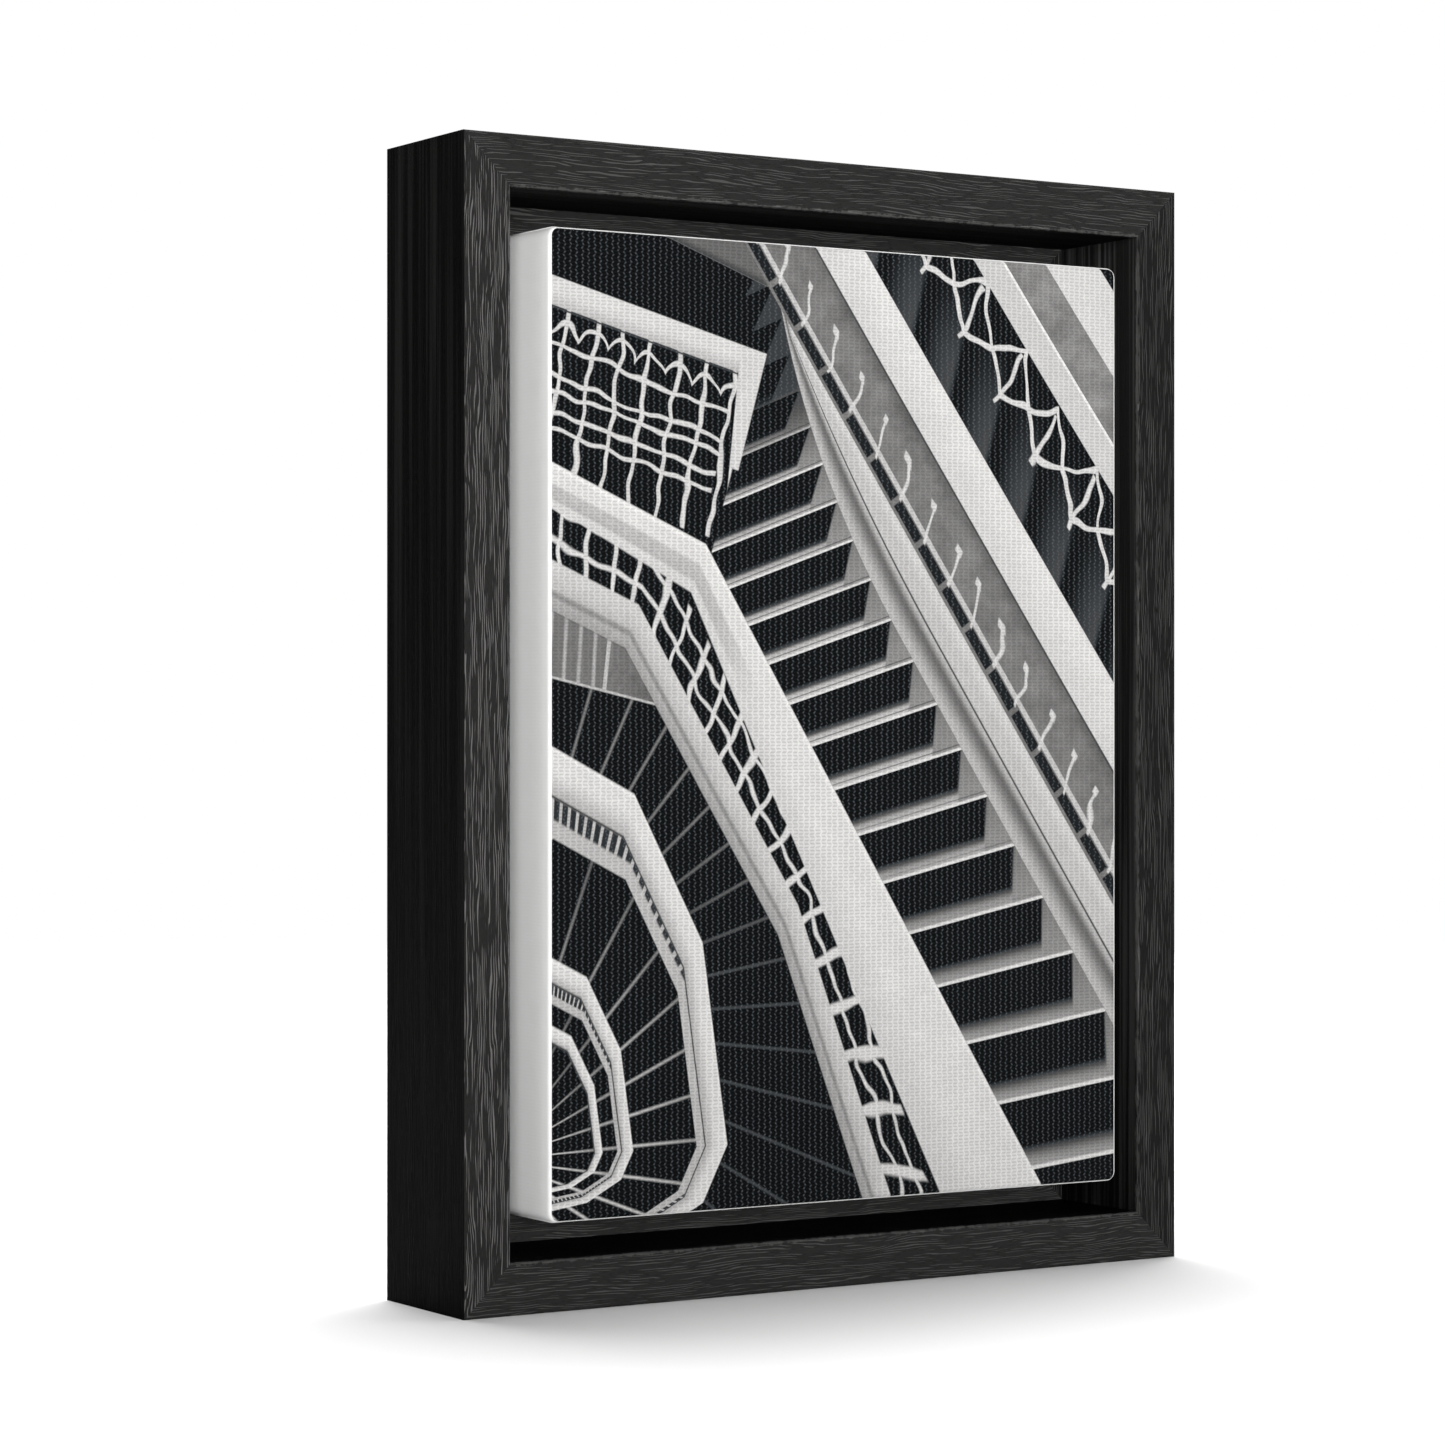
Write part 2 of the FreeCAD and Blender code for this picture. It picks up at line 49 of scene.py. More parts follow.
# ---------------------------------------------------------------- sizes taken from the model

FRAME_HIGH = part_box("frame_rail_top")[1]
CLOTH_LOW, CLOTH_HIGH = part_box("canvas")

FRAME_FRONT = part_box("frame_stile_left")[0].y
FRAME_HALF_WIDTH = FRAME_HIGH.x
FRAME_HEIGHT = FRAME_HIGH.z
FRAME_MIDDLE = FRAME_HEIGHT / 2
FACE_WIDTH = 9.5 * MM

CLOTH_HALF_WIDTH = CLOTH_HIGH.x
CLOTH_HALF_HEIGHT = (CLOTH_HIGH.z - CLOTH_LOW.z) / 2
CLOTH_MIDDLE = (CLOTH_HIGH.z + CLOTH_LOW.z) / 2
CLOTH_FRONT = CLOTH_LOW.y
CLOTH_BACK = CLOTH_HIGH.y
CLOTH_THICKNESS = 0.5 * MM
CORNER_RADIUS = 1.8 * MM
FRONT_EDGE_RADIUS = 0.8 * MM
BACK_EDGE_RADIUS = 0.7 * MM
CLOTH_DEPTH = CLOTH_BACK - CLOTH_FRONT
FLAP_WIDTH = 18 * MM
UV_SPAN = 0.3

WHITE = (1, 1, 1, 1)


# ---------------------------------------------------------------- arithmetic on the surface


class Amount:
    """A number that changes over a surface, so that a pattern reads as plain arithmetic."""

    def __init__(self, tree, socket):
        self.tree = tree
        self.socket = socket

    def sum_with(self, kind, other=None, swapped=False):
        node = self.tree.nodes.new("ShaderNodeMath")
        node.operation = kind
        first, second = (1, 0) if swapped else (0, 1)
        feed(self.tree, self, node.inputs[first])
        if other is not None:
            feed(self.tree, other, node.inputs[second])
        return Amount(self.tree, node.outputs[0])

    def __add__(self, other):
        return self.sum_with("ADD", other)

    def __radd__(self, other):
        return self.sum_with("ADD", other)

    def __sub__(self, other):
        return self.sum_with("SUBTRACT", other)

    def __rsub__(self, other):
        return self.sum_with("SUBTRACT", other, swapped=True)

    def __mul__(self, other):
        return self.sum_with("MULTIPLY", other)

    def __rmul__(self, other):
        return self.sum_with("MULTIPLY", other)

    def __truediv__(self, other):
        return self.sum_with("DIVIDE", other)

    def __neg__(self):
        return self.sum_with("MULTIPLY", -1)

    def larger(self, other):
        return self.sum_with("MAXIMUM", other)

    def smaller(self, other):
        return self.sum_with("MINIMUM", other)

    def size(self):
        return self.sum_with("ABSOLUTE")

    def part(self):
        return self.sum_with("FRACT")

    def whole(self):
        return self.sum_with("FLOOR")

    def sine(self):
        return self.sum_with("SINE")

    def root(self):
        return self.sum_with("SQRT")

    def angle_with(self, other):
        return self.sum_with("ARCTAN2", other)

    def power(self, other):
        return self.sum_with("POWER", other)

    def rise(self, start, end):
        """0 at start and 1 at end, with a soft turn at both."""
        node = self.tree.nodes.new("ShaderNodeMapRange")
        node.interpolation_type = "SMOOTHSTEP"
        feed(self.tree, self, node.inputs["Value"])
        feed(self.tree, start, node.inputs["From Min"])
        feed(self.tree, end, node.inputs["From Max"])
        return Amount(self.tree, node.outputs["Result"])

    def above(self, edge, soft):
        """1 past an edge, which is soft over the given width."""
        return (self - edge).rise(-soft / 2, soft / 2)

    def below(self, edge, soft):
        return (self - edge).rise(soft / 2, -soft / 2)

    def between(self, low, high, soft):
        return self.above(low, soft) * self.below(high, soft)

    def near(self, at, width, soft):
        """1 on a line of the given width."""
        return (self - at).size().below(width / 2, soft)


def feed(tree, value, socket):
    """Join a number, a colour or another node's output to an input."""
    if isinstance(value, Amount):
        tree.links.new(value.socket, socket)
    elif isinstance(value, bpy.types.NodeSocket):
        tree.links.new(value, socket)
    else:
        socket.default_value = value


def over(top, cover, under):
    """Lay one tone over another where the cover is 1."""
    return under + (top - under) * cover


def new_group(name, inputs, outputs):
    """An empty shader group with its inputs, at their usual values, and its outputs."""
    tree = bpy.data.node_groups.new(name, "ShaderNodeTree")
    for label, kind, value in inputs:
        socket = tree.interface.new_socket(name=label, in_out="INPUT", socket_type=kind)
        socket.default_value = value
    for label, kind in outputs:
        tree.interface.new_socket(name=label, in_out="OUTPUT", socket_type=kind)
    start = tree.nodes.new("NodeGroupInput")
    end = tree.nodes.new("NodeGroupOutput")
    return tree, start, end


def place_group(tree, group, values):
    """Use a shader group in a material, with these inputs."""
    node = tree.nodes.new("ShaderNodeGroup")
    node.node_tree = group
    for label, value in values.items():
        feed(tree, value, node.inputs[label])
    return node


def split(tree, vector):
    node = tree.nodes.new("ShaderNodeSeparateXYZ")
    feed(tree, vector, node.inputs[0])
    return [Amount(tree, node.outputs[axis]) for axis in range(3)]


def join(tree, x, y, z):
    node = tree.nodes.new("ShaderNodeCombineXYZ")
    for axis, value in enumerate((x, y, z)):
        feed(tree, value, node.inputs[axis])
    return node.outputs[0]


def noise_of(tree, vector, scale, detail=3.0, roughness=0.55):
    node = tree.nodes.new("ShaderNodeTexNoise")
    feed(tree, vector, node.inputs["Vector"])
    feed(tree, scale, node.inputs["Scale"])
    feed(tree, detail, node.inputs["Detail"])
    feed(tree, roughness, node.inputs["Roughness"])
    return Amount(tree, node.outputs["Fac"])


def blend(tree, amount, first, second):
    """A colour that goes from first to second as the amount goes from 0 to 1."""
    node = tree.nodes.new("ShaderNodeMix")
    node.data_type = "RGBA"
    feed(tree, amount, node.inputs["Factor"])
    for value, label in ((first, "A"), (second, "B")):
        sockets = [item for item in node.inputs if item.name == label and item.type == "RGBA"]
        feed(tree, value, sockets[0])
    return [item for item in node.outputs if item.type == "RGBA"][0]


def bump(tree, height, distance, strength):
    node = tree.nodes.new("ShaderNodeBump")
    feed(tree, height, node.inputs["Height"])
    node.inputs["Distance"].default_value = distance
    node.inputs["Strength"].default_value = strength
    return node.outputs["Normal"]


def new_material(name):
    material = bpy.data.materials.new(name)
    material.use_nodes = True
    tree = material.node_tree
    shader = tree.nodes["Principled BSDF"]
    return material, tree, shader


def object_place(tree):
    return tree.nodes.new("ShaderNodeTexCoord").outputs["Object"]


def object_facing(tree):
    return tree.nodes.new("ShaderNodeTexCoord").outputs["Normal"]


# ---------------------------------------------------------------- camera, floor and light


SENSOR_WIDTH = 36
LENS_LENGTH = 99.85
CAMERA_SIDE = -0.4170
CAMERA_AWAY = 0.6230
CAMERA_LIFT = 0.0004
CAMERA_TURN = -32.12
FLOOR_HALF_SIZE = 1.4
FLOOR_FADE_START = 0.85
FLOOR_FADE_END = 1.25


def set_camera():
    """A level camera with a long lens, to the left of straight on."""
    data = bpy.data.cameras.new("studio_camera")
    data.sensor_width = SENSOR_WIDTH
    data.lens = LENS_LENGTH
    data.clip_end = 100
    camera = bpy.data.objects.new("studio_camera", data)
    camera.location = (CAMERA_SIDE, FRAME_FRONT - CAMERA_AWAY, FRAME_MIDDLE + CAMERA_LIFT)
    camera.rotation_euler = (math.radians(90), 0, math.radians(CAMERA_TURN))
    bpy.context.collection.objects.link(camera)
    bpy.context.scene.camera = camera


def floor_material():
    """Matt off-white that clears to nothing far out, and from below. Painted shade: it is darker within
    about 0.45 m of the object.
    """
    material, tree, shader = new_material("studio_floor")
    x, y, _ = split(tree, object_place(tree))
    away = (x * x + y * y).root()
    mottle = noise_of(tree, object_place(tree), 6.0)
    # Painted shade: darker near the object, which deepens its shadow on the floor.
    tone = 0.69 + away.rise(0.10, 0.45) * 0.22 + mottle * 0.02
    tree.links.new(join(tree, tone, tone, tone), shader.inputs["Base Color"])
    shader.inputs["Roughness"].default_value = 0.9
    shader.inputs["Specular IOR Level"].default_value = 0.1
    far_out = away.rise(FLOOR_FADE_START, FLOOR_FADE_END)
    behind = Amount(tree, tree.nodes.new("ShaderNodeNewGeometry").outputs["Backfacing"])
    clear = tree.nodes.new("ShaderNodeBsdfTransparent")
    mixer = tree.nodes.new("ShaderNodeMixShader")
    tree.links.new(far_out.larger(behind).socket, mixer.inputs[0])
    tree.links.new(shader.outputs[0], mixer.inputs[1])
    tree.links.new(clear.outputs[0], mixer.inputs[2])
    tree.links.new(mixer.outputs[0], tree.nodes["Material Output"].inputs[0])
    return material


def lay_floor():
    """The flat floor that the frame stands on."""
    bm = bmesh.new()
    bmesh.ops.create_grid(bm, x_segments=4, y_segments=4, size=FLOOR_HALF_SIZE)
    mesh = bpy.data.meshes.new("studio_floor")
    bm.to_mesh(mesh)
    bm.free()
    floor = bpy.data.objects.new("studio_floor", mesh)
    mesh.materials.append(floor_material())
    bpy.context.collection.objects.link(floor)


def add_light(name, place, aim, width, height, watts):
    """A soft box lamp turned towards its aim."""
    data = bpy.data.lights.new(name, "AREA")
    data.shape = "RECTANGLE"
    data.size = width
    data.size_y = height
    data.energy = watts
    light = bpy.data.objects.new(name, data)
    light.location = place
    way = Vector(aim) - Vector(place)
    light.rotation_euler = way.to_track_quat("-Z", "Y").to_euler()
    bpy.context.collection.objects.link(light)


def set_world(seen, cast):
    """White to look at, and dimmer as a light, so that the lamps shape the object."""
    world = bpy.data.worlds.new("studio_world")
    world.use_nodes = True
    tree = world.node_tree
    cast_node = tree.nodes["Background"]
    _, back, up = split(tree, tree.nodes.new("ShaderNodeTexCoord").outputs["Generated"])
    glow = back.rise(0.9, -0.9) * 0.75 + 0.25
    glow = glow * (1.0 - up.rise(0.2, 1.0) * 0.4)
    tree.links.new(join(tree, glow, glow, glow), cast_node.inputs["Color"])
    cast_node.inputs["Strength"].default_value = cast
    seen_node = tree.nodes.new("ShaderNodeBackground")
    seen_node.inputs["Color"].default_value = WHITE
    seen_node.inputs["Strength"].default_value = seen
    looked_at = tree.nodes.new("ShaderNodeLightPath").outputs["Is Camera Ray"]
    mixer = tree.nodes.new("ShaderNodeMixShader")
    tree.links.new(looked_at, mixer.inputs[0])
    tree.links.new(cast_node.outputs[0], mixer.inputs[1])
    tree.links.new(seen_node.outputs[0], mixer.inputs[2])
    tree.links.new(mixer.outputs[0], tree.nodes["World Output"].inputs[0])
    bpy.context.scene.world = world


def set_lights():
    """A large lamp at the front left, a weak one at the right and one from above."""
    aim = (0, 0, FRAME_MIDDLE)
    set_world(1.0, 0.55)
    add_light("front_light", (-1.02, -2.0, 0.30), aim, 1.1, 1.1, 58)
    add_light("right_light", (1.9, -1.2, 0.9), aim, 1.0, 1.0, 12)
    add_light("top_light", (0.24, 0.46, 1.75), (0, 0.1, 0), 1.2, 0.9, 60)
    settings = bpy.context.scene.view_settings
    settings.view_transform = "Standard"
    settings.look = "None"
    settings.exposure = 0
    settings.gamma = 1


# ---------------------------------------------------------------- black stained wood


def wood_grain_group():
    """Raised wavy ridges and faint long streaks. X of Place runs along the member, in metres."""
    tree, start, end = new_group(
        "wood_grain",
        [("Place", "NodeSocketVector", (0, 0, 0)), ("Pitch", "NodeSocketFloat", 0.5)],
        [("Ridge", "NodeSocketFloat"), ("Fine", "NodeSocketFloat"), ("Streak", "NodeSocketFloat")],
    )
    pitch = Amount(tree, start.outputs["Pitch"]) * MM
    along, across, deep = split(tree, start.outputs["Place"])
    sway = noise_of(tree, join(tree, along * 38, across * 190, deep * 190), 1.0, 3.0, 0.5)
    count = (across + deep) / pitch + (sway - 0.5) * 9.0
    wave = (count * (2 * PI)).sine() * 0.5 + 0.5
    broken = noise_of(tree, join(tree, along * 95, across / pitch * 0.9, deep / pitch), 1.0, 2.0)
    fine = noise_of(tree, join(tree, along * 900, across / pitch * 4, deep / pitch * 4), 1.0, 2.0)
    streak = noise_of(tree, join(tree, along * 9, across * 800, deep * 800), 1.0, 2.0)
    ridge = wave * (0.25 + broken.rise(0.36, 0.60) * 0.75)
    tree.links.new(ridge.socket, end.inputs["Ridge"])
    tree.links.new(fine.socket, end.inputs["Fine"])
    tree.links.new(streak.socket, end.inputs["Streak"])
    return tree


def painted_edge_highlight_group():
    """1 on the arris round the opening, broken up by noise: a painted highlight where the edge catches
    the light.
    """
    tree, start, end = new_group(
        "painted_edge_highlight",
        [
            ("Place", "NodeSocketVector", (0, 0, 0)),
            ("Half Width", "NodeSocketFloat", 0.07),
            ("Half Height", "NodeSocketFloat", 0.095),
            ("Reach", "NodeSocketFloat", 0.0008),
        ],
        [("Highlight", "NodeSocketFloat")],
    )
    x, y, z = split(tree, start.outputs["Place"])
    out_x = x.size() - Amount(tree, start.outputs["Half Width"])
    out_z = (z - FRAME_MIDDLE).size() - Amount(tree, start.outputs["Half Height"])
    far = out_x.larger(out_z).size()
    front = (y - FRAME_FRONT).size()
    reach = Amount(tree, start.outputs["Reach"])
    jag = noise_of(tree, join(tree, x * 900, y * 900, z * 260), 1.0, 3.0, 0.6)
    close = far.larger(front) / reach
    painted_highlight = (close + (jag - 0.5) * 2.2).rise(0.75, 0.35)
    tree.links.new(painted_highlight.socket, end.inputs["Highlight"])
    return tree


STAINED_PITCH = 0.44
PINE_PITCH = 0.34
RING_WIDTH = 2.6 * MM
STAIN_RELIEF = 0.34 * MM
PINE_RELIEF = 0.12 * MM
# How much painted highlight the arris round the opening gets.
EDGE_HIGHLIGHT_TONE = 0.05
DARKEST_STAIN = 0.006


def stained_wood(name, turned, tones, relief, grain, arris_highlight):
    """Black stained, brushed wood, with painted light: a painted sheen on the front faces, painted
    shade on the sides and at their foot, a lifted recess and a painted highlight on the inner arris.
    turned is true where the member stands upright.
    """
    face_tone, side_tone = tones
    material, tree, shader = new_material(name)
    place = object_place(tree)
    x, y, z = split(tree, place)
    run = join(tree, z, x, y) if turned else join(tree, x, z, y)
    marks = place_group(tree, grain, {"Place": run, "Pitch": STAINED_PITCH})
    ridge = Amount(tree, marks.outputs["Ridge"])
    fine = Amount(tree, marks.outputs["Fine"])
    streak = Amount(tree, marks.outputs["Streak"])
    # The front faces take the lighter brushed tone and the sides a far darker plain tone: partly the
    # brushed grain, partly a painted sheen on the front and painted shade on the sides.
    facing = split(tree, object_facing(tree))[1]
    face = (facing * -1).rise(0.35, 0.85)
    raised = ridge.rise(0.40, 0.68)
    brushed_and_sheen = 0.050 + (raised - 0.45) * 0.062 * relief + (fine - 0.5) * 0.018
    brushed_and_sheen = brushed_and_sheen.larger(DARKEST_STAIN) * face_tone
    # Painted light: front faces deep in the recess, the ledge, are painted up to 2.3 times lighter to
    # lift the shade there.
    painted_recess_light = (y - FRAME_FRONT).rise(10 * MM, 20 * MM)
    brushed_and_sheen = brushed_and_sheen * (1 + painted_recess_light * 1.3)
    plain = 0.0012 + streak.rise(0.42, 0.7) * 0.0066
    # Painted shade: the sides are painted darker towards the foot, where the floor lights them from
    # below.
    side = plain * side_tone * (0.35 + z.rise(0, FRAME_HEIGHT) * 1.3)
    plain = over(plain * 2.2, facing.rise(0.4, 0.8), side)
    tone = over(brushed_and_sheen, face, plain)
    edge = place_group(
        tree,
        arris_highlight,
        {
            "Place": place,
            "Half Width": FRAME_HALF_WIDTH - FACE_WIDTH,
            "Half Height": FRAME_MIDDLE - FACE_WIDTH,
        },
    )
    # Painted highlight along the arris round the opening, where the edge catches the light.
    painted_highlight = Amount(tree, edge.outputs["Highlight"])
    tone = tone + painted_highlight * EDGE_HIGHLIGHT_TONE * face_tone
    colour = join(tree, tone, tone * 0.985, tone * 0.965)
    tree.links.new(colour, shader.inputs["Base Color"])
    rough = 0.62 - raised * 0.1
    tree.links.new(rough.socket, shader.inputs["Roughness"])
    shader.inputs["Specular IOR Level"].default_value = 0.02
    height = (raised * 0.9 + fine * 0.25) * (0.15 + face * 0.85) * relief
    tree.links.new(bump(tree, height, STAIN_RELIEF, 1.0), shader.inputs["Normal"])
    return material


# ---------------------------------------------------------------- bare pine


def pine(name, turned, grain):
    """Planed softwood with growth rings. turned is true where the bar stands upright."""
    material, tree, shader = new_material(name)
    x, y, z = split(tree, object_place(tree))
    run = join(tree, z, x, y) if turned else join(tree, x, z, y)
    along, across, deep = split(tree, run)
    drift = noise_of(tree, join(tree, along * 9, across * 30, deep * 30), 1.0, 2.0)
    ring = ((across * 0.8 + deep * 0.55) / RING_WIDTH + drift * 5.0).part()
    late = ring.rise(0.45, 0.92) * ring.rise(1.0, 0.93)
    marks = place_group(tree, grain, {"Place": run, "Pitch": PINE_PITCH})
    fibre = Amount(tree, marks.outputs["Ridge"])
    wood = blend(tree, late, (0.62, 0.43, 0.25, 1), (0.45, 0.25, 0.11, 1))
    wood = blend(tree, fibre.rise(0.35, 0.7) * 0.35, wood, (0.72, 0.55, 0.36, 1))
    tree.links.new(wood, shader.inputs["Base Color"])
    rough = 0.68 - late * 0.12
    tree.links.new(rough.socket, shader.inputs["Roughness"])
    shader.inputs["Specular IOR Level"].default_value = 0.3
    height = late * 0.3 + fibre * 0.5
    tree.links.new(bump(tree, height, PINE_RELIEF, 0.5), shader.inputs["Normal"])
    return material


# ---------------------------------------------------------------- metal and rubber


def metal(name, light, dark, roughness, grain_size):
    """Bright or dull metal with rubbed and spotted patches."""
    material, tree, shader = new_material(name)
    place = object_place(tree)
    patch = noise_of(tree, place, 1 / (grain_size * 4), 4.0, 0.6)
    speck = noise_of(tree, place, 1 / (grain_size * 0.5), 2.0, 0.6)
    colour = blend(tree, patch.rise(0.35, 0.7), light + (1,), dark + (1,))
    tree.links.new(colour, shader.inputs["Base Color"])
    shader.inputs["Metallic"].default_value = 1.0
    rough = roughness + (patch - 0.5) * 0.25 + (speck - 0.5) * 0.1
    tree.links.new(rough.socket, shader.inputs["Roughness"])
    tree.links.new(bump(tree, speck, 0.03 * MM, 0.4), shader.inputs["Normal"])
    return material


def clear_rubber():
    """Milky see-through rubber, a little dusty."""
    material, tree, shader = new_material("clear_rubber")
    place = object_place(tree)
    dust = noise_of(tree, place, 900.0, 3.0, 0.6).rise(0.52, 0.75)
    colour = blend(tree, dust, (0.42, 0.44, 0.45, 1), (0.62, 0.62, 0.61, 1))
    tree.links.new(colour, shader.inputs["Base Color"])
    rough = 0.28 + dust * 0.3
    tree.links.new(rough.socket, shader.inputs["Roughness"])
    shader.inputs["Subsurface Weight"].default_value = 0.35
    shader.inputs["Subsurface Radius"].default_value = (0.002, 0.002, 0.002)
    tree.links.new(bump(tree, dust, 0.02 * MM, 0.3), shader.inputs["Normal"])
    return material


# ---------------------------------------------------------------- the printed picture


DARK = 0.0016
WELL_X = -2.0
WELL_Y = 25.0
STRETCH = 1.6
STOREY_Y = 12.0
STOREY_RISE = 1.88
STOREY_FALL = 0.52
TREAD_LEAD = 9.0
LOWER_TREADS = 32
UPPER_TREADS = 46
UPPER_TREADS_Y = 36.0
LOWER_RAILS = (38.0, 18.6, 12.4)
WELL_TURNS = (45, 75, 105)
STOREY_TURNS = (-75, -45, -15, 15, 45, 75, 105)
RAIL_OUTSIDE = 67.5
INNER_RAIL_OUTSIDE = 57.0
INNER_RAIL_INSIDE = 51.5
STRING_START = -15.2
SPUR_PITCH = 9.6
TRUSS_PITCH = 14.6
TRUSS_MIDDLE = 50.5
FAR_LEFT = 450.0
FAR_UP = 890.0
FAR_REACH = 820.0
RAIL_ZERO = 565.0
PRINT_CORNER = 1.5
PRINT_MARGIN_ACROSS = 0.5
PRINT_MARGIN_UP = 0.2


def many_sided(x, y, degrees):
    """How far out a point is, measured square to the nearest side of a many-sided ring."""
    out = None
    for turn in degrees:
        side = x * math.cos(math.radians(turn)) + y * math.sin(math.radians(turn))
        out = side if out is None else out.larger(side)
    return out


def ring_place(x, y):
    """A place in the well, whose upper rail is drawn out upwards."""
    return x - WELL_X, (y - WELL_Y) / STRETCH


def storey_place(x, y, shift=0.0):
    """A storey's own place: tall above its middle, and short below it."""
    above = (y - STOREY_Y).larger(0) / STOREY_RISE
    below = (y - STOREY_Y).smaller(0) / STOREY_FALL
    return x - (WELL_X + shift), above + below


def well_sides(x, y):
    """How far out a point is in the many-sided well, whose upper right side is set in a little."""
    return many_sided(x, y, (31, 75, 105)).larger(many_sided(x, y, (45,)) + 4.6)


def radial_lines(x, y, count, width):
    """Thin lines, one a tread, that point to a place a little left of the canvas."""
    far = x + TREAD_LEAD
    turn = y.angle_with(far) / (2 * PI) * count + 0.35
    away = (far * far + y * y).root()
    off = (turn.part() - 0.5).size() * away * (2 * PI / count)
    return off.below(width * 0.40, width * 0.80)


def well_storey(x, y, radius, under, pierced_work):
    """One ring of the stairwell: a pale rail, pierced work under it, and dark treads inside."""
    rx, ry = storey_place(x, y)
    out = many_sided(rx, ry, STOREY_TURNS)
    inner = many_sided(*storey_place(x, y, 0.075 * radius), STOREY_TURNS)
    level = y - STOREY_Y
    treads = radial_lines(rx, level, LOWER_TREADS, (out * 0.030 + 0.16).smaller(0.62))
    side_light = (ry / (radius * 0.6)).rise(1.3, -0.2)
    inside = DARK + treads * (0.12 + 0.44 * side_light * (rx / radius).rise(1.4, 0.3))
    tone = over(inside, out.below(radius, 0.3), under)
    if pierced_work:
        turn = ry.angle_with(rx) / (2 * PI) * 118
        row = (inner.size() - radius * 0.80) / (radius * 0.075)
        hole = (turn.part() - 0.5).size().below(0.33, 0.12) * (row - 0.5).size().below(0.36, 0.16)
        pierced = 0.46 - hole * 0.44
        skirt = inner.above(radius * 0.765, 0.25) * out.below(radius * 0.90, 0.25)
        tone = over(pierced, skirt, tone)
    rail_tone = 0.40 + out.rise(radius * 0.88, radius * 0.96) * 0.26
    tone = over(rail_tone, out.between(radius * 0.885, radius, 0.3), tone)
    tone = over(0.03, out.near(radius * 0.885, 0.24, 0.30), tone)
    return over(0.74, out.near(radius, 0.35, 0.3), tone)


def string_place(y):
    """Where the wall string starts, which bends away towards its top."""
    return STRING_START + (y - 105).larger(0).power(2) * 0.0042


def straight_flight(x, y, across, under):
    """Dark risers and pale treads that climb between the well's rail and the wall string."""
    lift = (y + 55) / (x + FAR_LEFT)
    count = lift * 29.5 + lift * lift * 45 + 0.42
    step = count.part()
    drop = 1 - step
    string_edge = string_place(y)
    wall = across.above(string_edge - drop * 8.0 - 0.3, 0.7)
    soft_top = step.rise(0.36, 0.08) * (y.rise(150, 60) * 0.26 + 0.03)
    thin_top = step.rise(0.26, 0.16) * y.rise(45, 100) * 0.30
    riser = DARK + soft_top + thin_top
    body = over(0.27 - step * 0.10, wall, riser)
    nosing = step.rise(0.075, 0.035) * step.rise(0.0, 0.012)
    body = over(0.68, nosing, body)
    body = over(0.05, step.between(0.10, 0.125, 0.02) * y.rise(40, 90) * 0.7, body)
    reach = lift.rise(0.415, 0.375)
    body = over(body, reach, DARK + wall * 0.03)
    return over(body, across.below(string_edge, 0.3), under)


def wall_string(x, y, across, under):
    """The moulded string along the wall: a round bead in shadow, then a flat pale fillet."""
    string_edge = string_place(y)
    run = (across - string_edge) / (0.0 - string_edge).larger(2.0)
    bead = 0.44 - run.rise(0.04, 0.36) * 0.30 + run.rise(0.36, 0.52) * 0.32
    flat = 0.50 + run.rise(0.75, 0.95) * 0.08
    tone = over(flat, run.above(0.52, 0.03), bead)
    tone = over(0.04, run.near(0.53, 0.03, 0.03), tone)
    corner = (y + x * 0.36).above(186.3, 0.3) * across.below(0, 0.3)
    upper = 0.05 + (y + x * 0.36).rise(186, 188) * 0.10 - across.rise(-40, -4) * 0.02
    tone = over(upper, corner, tone)
    cover = across.between(string_edge, 0.3, 0.3).larger(corner)
    return over(tone, cover, under)


def thorn_rail(across, along, loose, cloud, under):
    """A grey strip with a pale wire, a dark slot broken by pegs, and slanted spurs."""
    tone = 0.08 + cloud * 0.20 - across.rise(14, 18) * 0.05
    slot = across.between(1.0, 3.7, 0.3) * ((along / SPUR_PITCH).part() - 0.55).size().above(0.06, 0.03)
    tone = over(0.008, slot, tone)
    tone = over(0.50, across.near(4.7, 1.3, 0.3), tone)
    bent = across + loose[0] * 0.5
    lean = ((along + loose[1] * 1.5) / SPUR_PITCH + (bent - 4.7) * 0.055).part()
    spur = (lean - 0.5).size().below(0.042, 0.05) * bent.between(3.2, 11.5, 0.5)
    head = (lean - 0.47).size().below(0.10, 0.05) * bent.between(10.4, 12.0, 0.5)
    tone = over(0.60, spur.larger(head), tone)
    return over(tone, across.between(0.15, 18.6, 0.3), under)


def truss_strip(across, along, loose, under):
    """Dim treads behind an open truss of pale rods, beside the upper rail."""
    bent = across + loose[0]
    phase = ((along + loose[1] * 1.4) / TRUSS_PITCH + (bent - 50) * 0.016).part()
    step = (along / TRUSS_PITCH + (across - 50) * 0.040).part()
    dim = DARK + step.rise(0.15, 0.95) * step.rise(1.0, 0.85) * across.rise(54, 33) * 0.050
    swing = (phase - 0.5).size() * 2
    upper = (bent - (TRUSS_MIDDLE + swing * 9.0)).size().below(0.80, 0.4)
    lower = (bent - (TRUSS_MIDDLE - swing * 5.5)).size().below(0.80, 0.4)
    bar = ((phase + 0.5).part() - 0.5).size().below(0.036, 0.03) * bent.between(42.5, 58, 0.4)
    rods = upper.larger(lower).larger(bar)
    fade = (along - 16).rise(0, 6)
    tone = over(0.62, rods * fade, dim)
    return over(tone, across.between(31, 60, 0.3), under)


